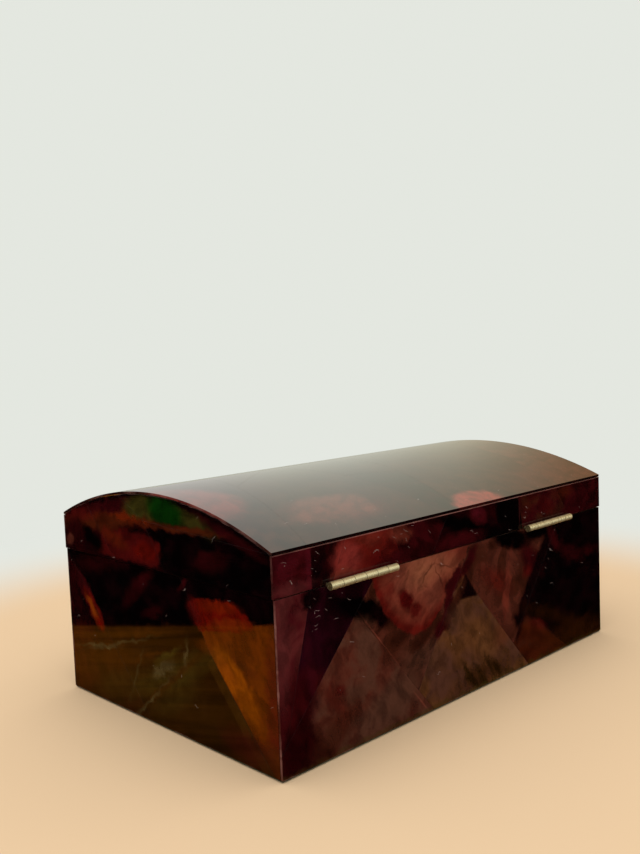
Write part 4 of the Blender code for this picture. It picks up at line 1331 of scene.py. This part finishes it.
class Faces(Enum):
    """The five kinds of face. Where no wear runs along an edge, its limit lies past the face."""

    BASE_LONG = Face(
        tuple(level_outline(BOX.half_length, BOX.foot, BOX.base_rim)), BOX.half_length, BOX.foot,
        BOX.base_rim, BASE_LONG_SEAMS, BASE_LONG_PLATES,
        ShellFinish("shell_base_long", BOX.half_length * MM, BOX.foot * MM, PAST_TOP_MM, BASE_LONG_PATCHES,
                    scratched=SCRATCHED_LONG))
    BASE_END = Face(
        tuple(level_outline(BOX.end_half_depth, BOX.foot, BOX.base_rim)), BOX.end_half_depth, BOX.foot,
        BOX.base_rim, BASE_END_SEAMS, BASE_END_PLATES,
        ShellFinish("shell_base_end", BOX.half_depth * MM, BOX.foot * MM, PAST_TOP_MM, BASE_END_PATCHES))
    LID_LONG = Face(
        tuple(level_outline(BOX.lid_half_length, BOX.lid_rim, SKIRT_TOP)), BOX.lid_half_length, BOX.lid_rim,
        SKIRT_TOP, LID_LONG_SEAMS, LID_LONG_PLATES,
        ShellFinish("shell_lid_long", BOX.lid_half_length * MM, PAST_FOOT_MM, 109.3, LID_LONG_PATCHES,
                    scratched=SCRATCHED_LID, wear=0.25))
    LID_END = Face(
        tuple(arched_outline(BOX.end_half_depth, BOX.lid_rim, BOX.skin)), BOX.end_half_depth, BOX.lid_rim,
        BOX.crest, LID_END_SEAMS, LID_END_PLATES,
        ShellFinish("shell_lid_end", BOX.half_depth * MM, PAST_FOOT_MM, 0.0, LID_END_PATCHES,
                    arch_radius_mm=(BOX.crown_radius - BOX.skin) * MM, arch_centre_mm=BOX.crown_centre * MM,
                    wear=0.4))
    CROWN = Face(
        tuple(level_outline(BOX.lid_half_length, -BOX.half_depth, BOX.half_depth)), BOX.lid_half_length, 0.0,
        BOX.half_depth, CROWN_SEAMS, CROWN_PLATES,
        ShellFinish("shell_crown", BOX.lid_half_length * MM, -PAST_TOP_MM, PAST_TOP_MM, CROWN_PATCHES,
                    wear=0.3, seam=0.02, coat=1.0))


class ShellPlates:
    """The polished shell plates on the base and the lid."""

    def __init__(self) -> None:
        """Makes one material for each kind of face."""
        self.materials = {kind: kind.value.finish.material() for kind in Faces}

    def _place(self, made: bpy.types.Object, node: str, body: str) -> bpy.types.Object:
        """Lets plates stand for their CAD node and ride on their body."""
        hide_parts(node)
        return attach(made, body)

    def build(self) -> list[bpy.types.Object]:
        """Lays the plates of all nine faces."""
        made = []
        for body, long_face, end_face, half_length in (
            ("base", Faces.BASE_LONG, Faces.BASE_END, BOX.half_length),
            ("lid", Faces.LID_LONG, Faces.LID_END, BOX.lid_half_length),
        ):
            for wall, side in (("front", -1), ("back", 1)):
                wrap = wall_wrap(1, side, BOX.half_depth - BOX.shell)
                plates = long_face.value.lay(f"{body}_{wall}_shell_plates", wrap, self.materials[long_face])
                made.append(self._place(plates, f"{body}_{wall}_shell", body))
            for wall, side in (("left_end", -1), ("right_end", 1)):
                wrap = wall_wrap(0, side, half_length - BOX.shell)
                plates = end_face.value.lay(f"{body}_{wall}_shell_plates", wrap, self.materials[end_face])
                made.append(self._place(plates, f"{body}_{wall}_shell", body))
        steps = 60
        cuts = [BOX.half_depth * (2.0 * i / steps - 1.0) for i in range(1, steps)]
        crown = Faces.CROWN.value.lay(
            "lid_crown_shell_plates", crown_wrap(BOX.shell), self.materials[Faces.CROWN], cuts)
        made.append(self._place(crown, "lid_crown_shell", "lid"))
        return made


@dataclass
class Linings:
    """Velvet panels inside, and the baize underneath."""

    velvet: PileFinish = PileFinish(
        "crimson_velvet", (0.070, 0.004, 0.008), (0.19, 0.014, 0.024), nap=1.0, sheen=0.5)
    baize: PileFinish = PileFinish(
        "olive_baize", (0.035, 0.045, 0.012), (0.070, 0.085, 0.024), nap=0.8, sheen=0.2)
    fill: float = 0.3
    under_ceiling: float = 0.0006
    ceiling_thick: float = 0.001
    arch_steps: int = 24
    ceiling_steps: int = 30

    def _panel(self, node: str, wrap: Wrap, outline: Sequence[Point], thick: float,
               material: bpy.types.Material, cuts: Sequence[float] = ()) -> bpy.types.Object:
        """Makes a soft-edged panel.

        Args:
            node: The CAD node that it stands for.
            wrap: How it lies on the box.
            outline: Its outline, counterclockwise.
            thick: Its thickness.
            material: Its material.
            cuts: Where to cut it so that it can bend.

        Returns:
            The object.
        """
        rings = ((0.0003, 0.0), (0.0, thick * 0.25), (0.0001, thick * 0.55), (0.0004, thick * 0.85),
                 (0.0011, thick))
        solid = SolidMesh(f"{node}_pile", wrap, cuts)
        solid.raise_panel(outline, rings, {"turn": (0.0, 1.0, 0.0)})
        made = solid.finish(material, "cloth_place")
        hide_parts(node)
        return made

    def _wall(self, node: str, axis: int, side: int, material: bpy.types.Material) -> bpy.types.Object:
        """Makes the lining of one wall inside the place of its CAD node, its pile facing inwards.

        Args:
            node: The CAD node that it stands for.
            axis: 0 where the wall faces along X, 1 where it faces along Y.
            side: 1 for the right end and the back, -1 for the opposite walls.
            material: Its material.

        Returns:
            The object.
        """
        low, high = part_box(node)
        across = 1 - axis
        half, thick = high[across], high[axis] - low[axis]
        outer = max(abs(low[axis]), abs(high[axis]))
        in_lid = node.startswith("lid")
        if in_lid and axis == 0:
            outline = arched_outline(half, low.z, BOX.crest - high.z, self.arch_steps)
        else:
            outline = level_outline(half, low.z, high.z - (self.under_ceiling if in_lid else 0.0))

        def wrap(x: float, up: float, out: float) -> Vector:
            point = Vector((0.0, 0.0, up))
            point[axis] = side * (outer - out)
            point[across] = -side * x
            return point
        return self._panel(node, wrap, outline, thick, material)

    def _floor_panel(self, node: str, side: int, material: bpy.types.Material) -> bpy.types.Object:
        """Makes a level panel, its pile facing up where side is 1 and down where it is -1."""
        low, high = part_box(node)
        foot = low.z if side > 0 else high.z
        outline = [(low.x, low.y), (high.x, low.y), (high.x, high.y), (low.x, high.y)]
        return self._panel(node, lambda x, y, out: Vector((x, y, foot + side * out)), outline,
                           high.z - low.z, material)

    def _ceiling(self, material: bpy.types.Material) -> bpy.types.Object:
        """Makes the lining of the lid's ceiling, which bends with the crown."""
        low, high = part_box("lid_ceiling_lining")
        depth = BOX.crest - high.z
        outline = [(low.x, low.y), (high.x, low.y), (high.x, high.y), (low.x, high.y)]
        steps = self.ceiling_steps
        cuts = [low.y + (high.y - low.y) * i / steps for i in range(1, steps)]
        return self._panel("lid_ceiling_lining",
                           lambda x, y, out: Vector((x, y, BOX.crown_height(y, depth + out))),
                           outline, self.ceiling_thick, material, cuts)

    def build(self) -> list[bpy.types.Object]:
        """Makes all the linings and the baize."""
        velvet, felt = self.velvet.material(), self.baize.material()
        made = []
        walls = (("front", 1, -1), ("back", 1, 1), ("left_end", 0, -1), ("right_end", 0, 1))
        for body in ("base", "lid"):
            for wall, axis, side in walls:
                piece = self._wall(f"{body}_{wall}_lining", axis, side, velvet)
                made.append((piece, body))
        made.append((self._floor_panel("base_floor_lining", 1, velvet), "base"))
        made.append((self._ceiling(velvet), "lid"))
        for piece, body in made:
            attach(piece, body)
        piece = self._floor_panel("underside_baize", -1, felt)
        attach(piece, "base")
        return [piece for piece, _ in made] + [piece]


@dataclass
class Carcass:
    """The boards of the base and the lid, which are the CAD's own solids."""

    long_wood: WoodFinish = WoodFinish("stained_wood_long")
    end_wood: WoodFinish = WoodFinish("stained_wood_ends", stretch=(1.0, 0.08, 1.0))
    long_nodes: tuple[str, ...] = (
        "base_front_board", "base_back_board", "base_bottom_board",
        "lid_front_rail", "lid_back_rail", "lid_crown_board")
    end_nodes: tuple[str, ...] = (
        "base_left_end_board", "base_right_end_board", "lid_left_arched_end", "lid_right_arched_end")

    def dress(self, nodes: dict[str, bpy.types.Object]) -> None:
        """Gives each board its wood."""
        for finish, names in ((self.long_wood, self.long_nodes), (self.end_wood, self.end_nodes)):
            material = finish.material()
            for name in names:
                paint(nodes[name], material)


@dataclass
class Hinges:
    """The two brass hinges with their pins and screws, which are the CAD's own solids."""

    leaf: BrassFinish = BrassFinish("aged_brass")
    # The pins and screws get the same painted highlight and painted shade, with a dimmer highlight colour.
    pin: BrassFinish = BrassFinish(
        "dull_brass", (0.50, 0.40, 0.16), (0.26, 0.19, 0.08), (0.60, 0.48, 0.22), rough=(0.32, 0.55))

    def dress(self, nodes: dict[str, bpy.types.Object]) -> None:
        """Gives the leaves bright brass, and the pins and screws duller brass."""
        leaf, pin = self.leaf.material(), self.pin.material()
        for name, node in nodes.items():
            if "_hinge_" in name:
                paint(node, leaf if name.endswith("_leaf") else pin)


def paint(node: bpy.types.Object, material: bpy.types.Material) -> None:
    """Puts a material in every slot of an object."""
    if not node.data.materials:
        node.data.materials.append(material)
    for number in range(len(node.data.materials)):
        node.data.materials[number] = material


@dataclass
class Studio:
    """Table, backdrop, light and camera."""

    location: Triple = (0.41758, 0.40941, 0.20137)
    right: Triple = (-0.716446, 0.696515, -0.039643)
    up: Triple = (-0.084059, -0.029775, 0.996016)
    back: Triple = (0.692559, 0.716924, 0.079881)
    lens_mm: float = 37.907
    half_floor: float = 6.0
    floor_drop: float = 0.0002
    floor_fade: Point = (0.29, 0.58)
    table_turn_deg: float = 37.7
    table_right: float = 0.304
    table_left: float = -0.60
    table_half_depth: float = 0.5
    table_back: float = 0.10
    table_corner: float = 0.16
    table_blur: float = 0.004
    mirror_fade: Point = (1.1, 1.6)
    world_level: float = 0.82
    lamp_place: Triple = (0.25, 0.15, 1.3)
    lamp_size: float = 1.2
    lamp_watts: float = 7.0

    def build(self) -> None:
        """Sets up everything round the box."""
        self._floor()
        self._world()
        self._lamp()
        self._camera()

    def _floor(self) -> None:
        """Lays a plain pale floor that fades into the backdrop's colour."""
        shape = bmesh.new()
        bmesh.ops.create_grid(shape, x_segments=1, y_segments=1, size=self.half_floor)
        mesh = bpy.data.meshes.new("floor")
        shape.to_mesh(mesh)
        shape.free()
        floor = bpy.data.objects.new("floor", mesh)
        floor.location.z = -self.floor_drop
        bpy.context.scene.collection.objects.link(floor)
        material = bpy.data.materials.new("floor")
        material.use_nodes = True
        material.node_tree.nodes.clear()
        graph = Graph(material.node_tree)
        place = graph.add("ShaderNodeNewGeometry").outputs["Position"]
        light = graph.add("ShaderNodeLightPath").outputs
        fade = graph.rise(graph.length(place), *self.floor_fade)
        colour = graph.mix(fade, Tone.TABLE, Tone.WALL)
        colour = graph.mix(light["Is Glossy Ray"], colour, self._mirrored(graph, place))
        lit = graph.add("ShaderNodeBsdfDiffuse", {"Color": colour})
        glow = graph.add("ShaderNodeEmission", {"Color": Tone.WALL, "Strength": 1.0})
        share = graph.math("MULTIPLY", fade, light["Is Camera Ray"])
        both = graph.add("ShaderNodeMixShader", {0: share, 1: lit.outputs[0], 2: glow.outputs[0]})
        leave = graph.add("ShaderNodeOutputMaterial")
        graph.put(leave.inputs["Surface"], both.outputs[0])
        mesh.materials.append(material)

    def _mirrored(self, graph: Graph, place: Any) -> Any:
        """Colour that the floor shows in reflections: a warm table with an edge, and the room past it."""
        turned = graph.turn(place, math.radians(self.table_turn_deg))
        x, y, _ = graph.split(turned)
        right = graph.math("SUBTRACT", x, self.table_right)
        past = graph.math("MAXIMUM", right, graph.math("SUBTRACT", self.table_left, x))
        across = graph.math("SUBTRACT", graph.math("ABSOLUTE", y), self.table_half_depth)
        past = graph.math("MAXIMUM", past, across)
        right, back, _ = graph.split(place)
        behind = graph.math("SUBTRACT", back, self.table_back)
        behind = graph.math("MINIMUM", behind, graph.math("SUBTRACT", self.table_corner, right))
        off_table = graph.rise(graph.math("MAXIMUM", past, behind), -self.table_blur, self.table_blur)
        grain = graph.noise(graph.vector("MULTIPLY", turned, (70.0, 9.0, 1.0)), 1.0, 4.0, 1.0)
        grain = graph.spread(graph.rise(grain, 0.30, 0.70), 0.68, 1.32)
        colour = graph.mix(1.0, Tone.TABLE_MIRRORED, graph.join(grain, grain, grain), "MULTIPLY")
        colour = graph.mix(off_table, colour, Tone.ROOM_MIRRORED)
        return graph.mix(graph.rise(graph.length(place), *self.mirror_fade), colour, Tone.ROOM_MIDDLE)

    def _world(self) -> None:
        """Sets soft light from all round, and the pale wall for the camera and for reflections."""
        world = bpy.data.worlds.new("studio")
        bpy.context.scene.world = world
        world.use_nodes = True
        world.node_tree.nodes.clear()
        graph = Graph(world.node_tree)
        light = graph.add("ShaderNodeLightPath").outputs
        toward = graph.add("ShaderNodeTexCoord").outputs["Generated"]
        x, _, z = graph.split(toward)
        level = graph.math("ADD", 0.93, graph.math("MULTIPLY", z, 0.4))
        aside = graph.math("MULTIPLY", x, -1.0)
        gloss = graph.mix(graph.rise(aside, 0.56, 0.68), Tone.ROOM_COOL, Tone.ROOM_MIDDLE)
        gloss = graph.mix(graph.rise(aside, 0.70, 0.82), gloss, Tone.ROOM_WARM)
        gloss = graph.mix(graph.rise(aside, 0.78, 0.88), gloss, Tone.ROOM_DUSK)
        gloss = graph.mix(1.0, gloss, graph.join(level, level, level), "MULTIPLY")
        colour = graph.mix(light["Is Glossy Ray"], Tone.WALL, gloss)
        daylight = {"Color": (1.0, 0.99, 0.97, 1.0), "Strength": self.world_level}
        soft = graph.add("ShaderNodeBackground", daylight)
        wall = graph.add("ShaderNodeBackground", {"Color": colour, "Strength": 1.0})
        seen = graph.math("MAXIMUM", light["Is Camera Ray"], light["Is Glossy Ray"])
        seen = graph.math("MAXIMUM", seen, light["Is Transmission Ray"])
        both = graph.add("ShaderNodeMixShader", {0: seen, 1: soft.outputs[0], 2: wall.outputs[0]})
        leave = graph.add("ShaderNodeOutputWorld")
        graph.put(leave.inputs["Surface"], both.outputs[0])

    def _lamp(self) -> None:
        """Hangs a wide soft lamp over the box."""
        data = bpy.data.lights.new("soft_lamp", "AREA")
        data.shape = "SQUARE"
        data.size = self.lamp_size
        data.energy = self.lamp_watts
        lamp = bpy.data.objects.new("soft_lamp", data)
        lamp.location = self.lamp_place
        lamp.rotation_euler = Vector(self.lamp_place).to_track_quat("Z", "Y").to_euler()
        bpy.context.scene.collection.objects.link(lamp)

    def _camera(self) -> None:
        """Sets the camera at the photograph's place."""
        data = bpy.data.cameras.new("camera")
        data.sensor_width = 36.0
        data.lens = self.lens_mm
        data.clip_start = 0.01
        camera = bpy.data.objects.new("camera", data)
        turn = Matrix((self.right, self.up, self.back)).transposed().to_4x4()
        camera.matrix_world = Matrix.Translation(self.location) @ turn
        bpy.context.scene.collection.objects.link(camera)
        bpy.context.scene.camera = camera


def main() -> None:
    """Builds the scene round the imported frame."""
    logging.basicConfig(level=logging.INFO, format="%(name)s: %(message)s")
    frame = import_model()
    bpy.context.scene.view_settings.view_transform = "Standard"
    Studio().build()
    pieces = ShellPlates().build() + Linings().build()
    Carcass().dress(frame["nodes"])
    Hinges().dress(frame["nodes"])
    for piece in pieces:
        LOG.info("%s: %d faces", piece.name, len(piece.data.polygons))


if __name__ == "__main__":
    main()
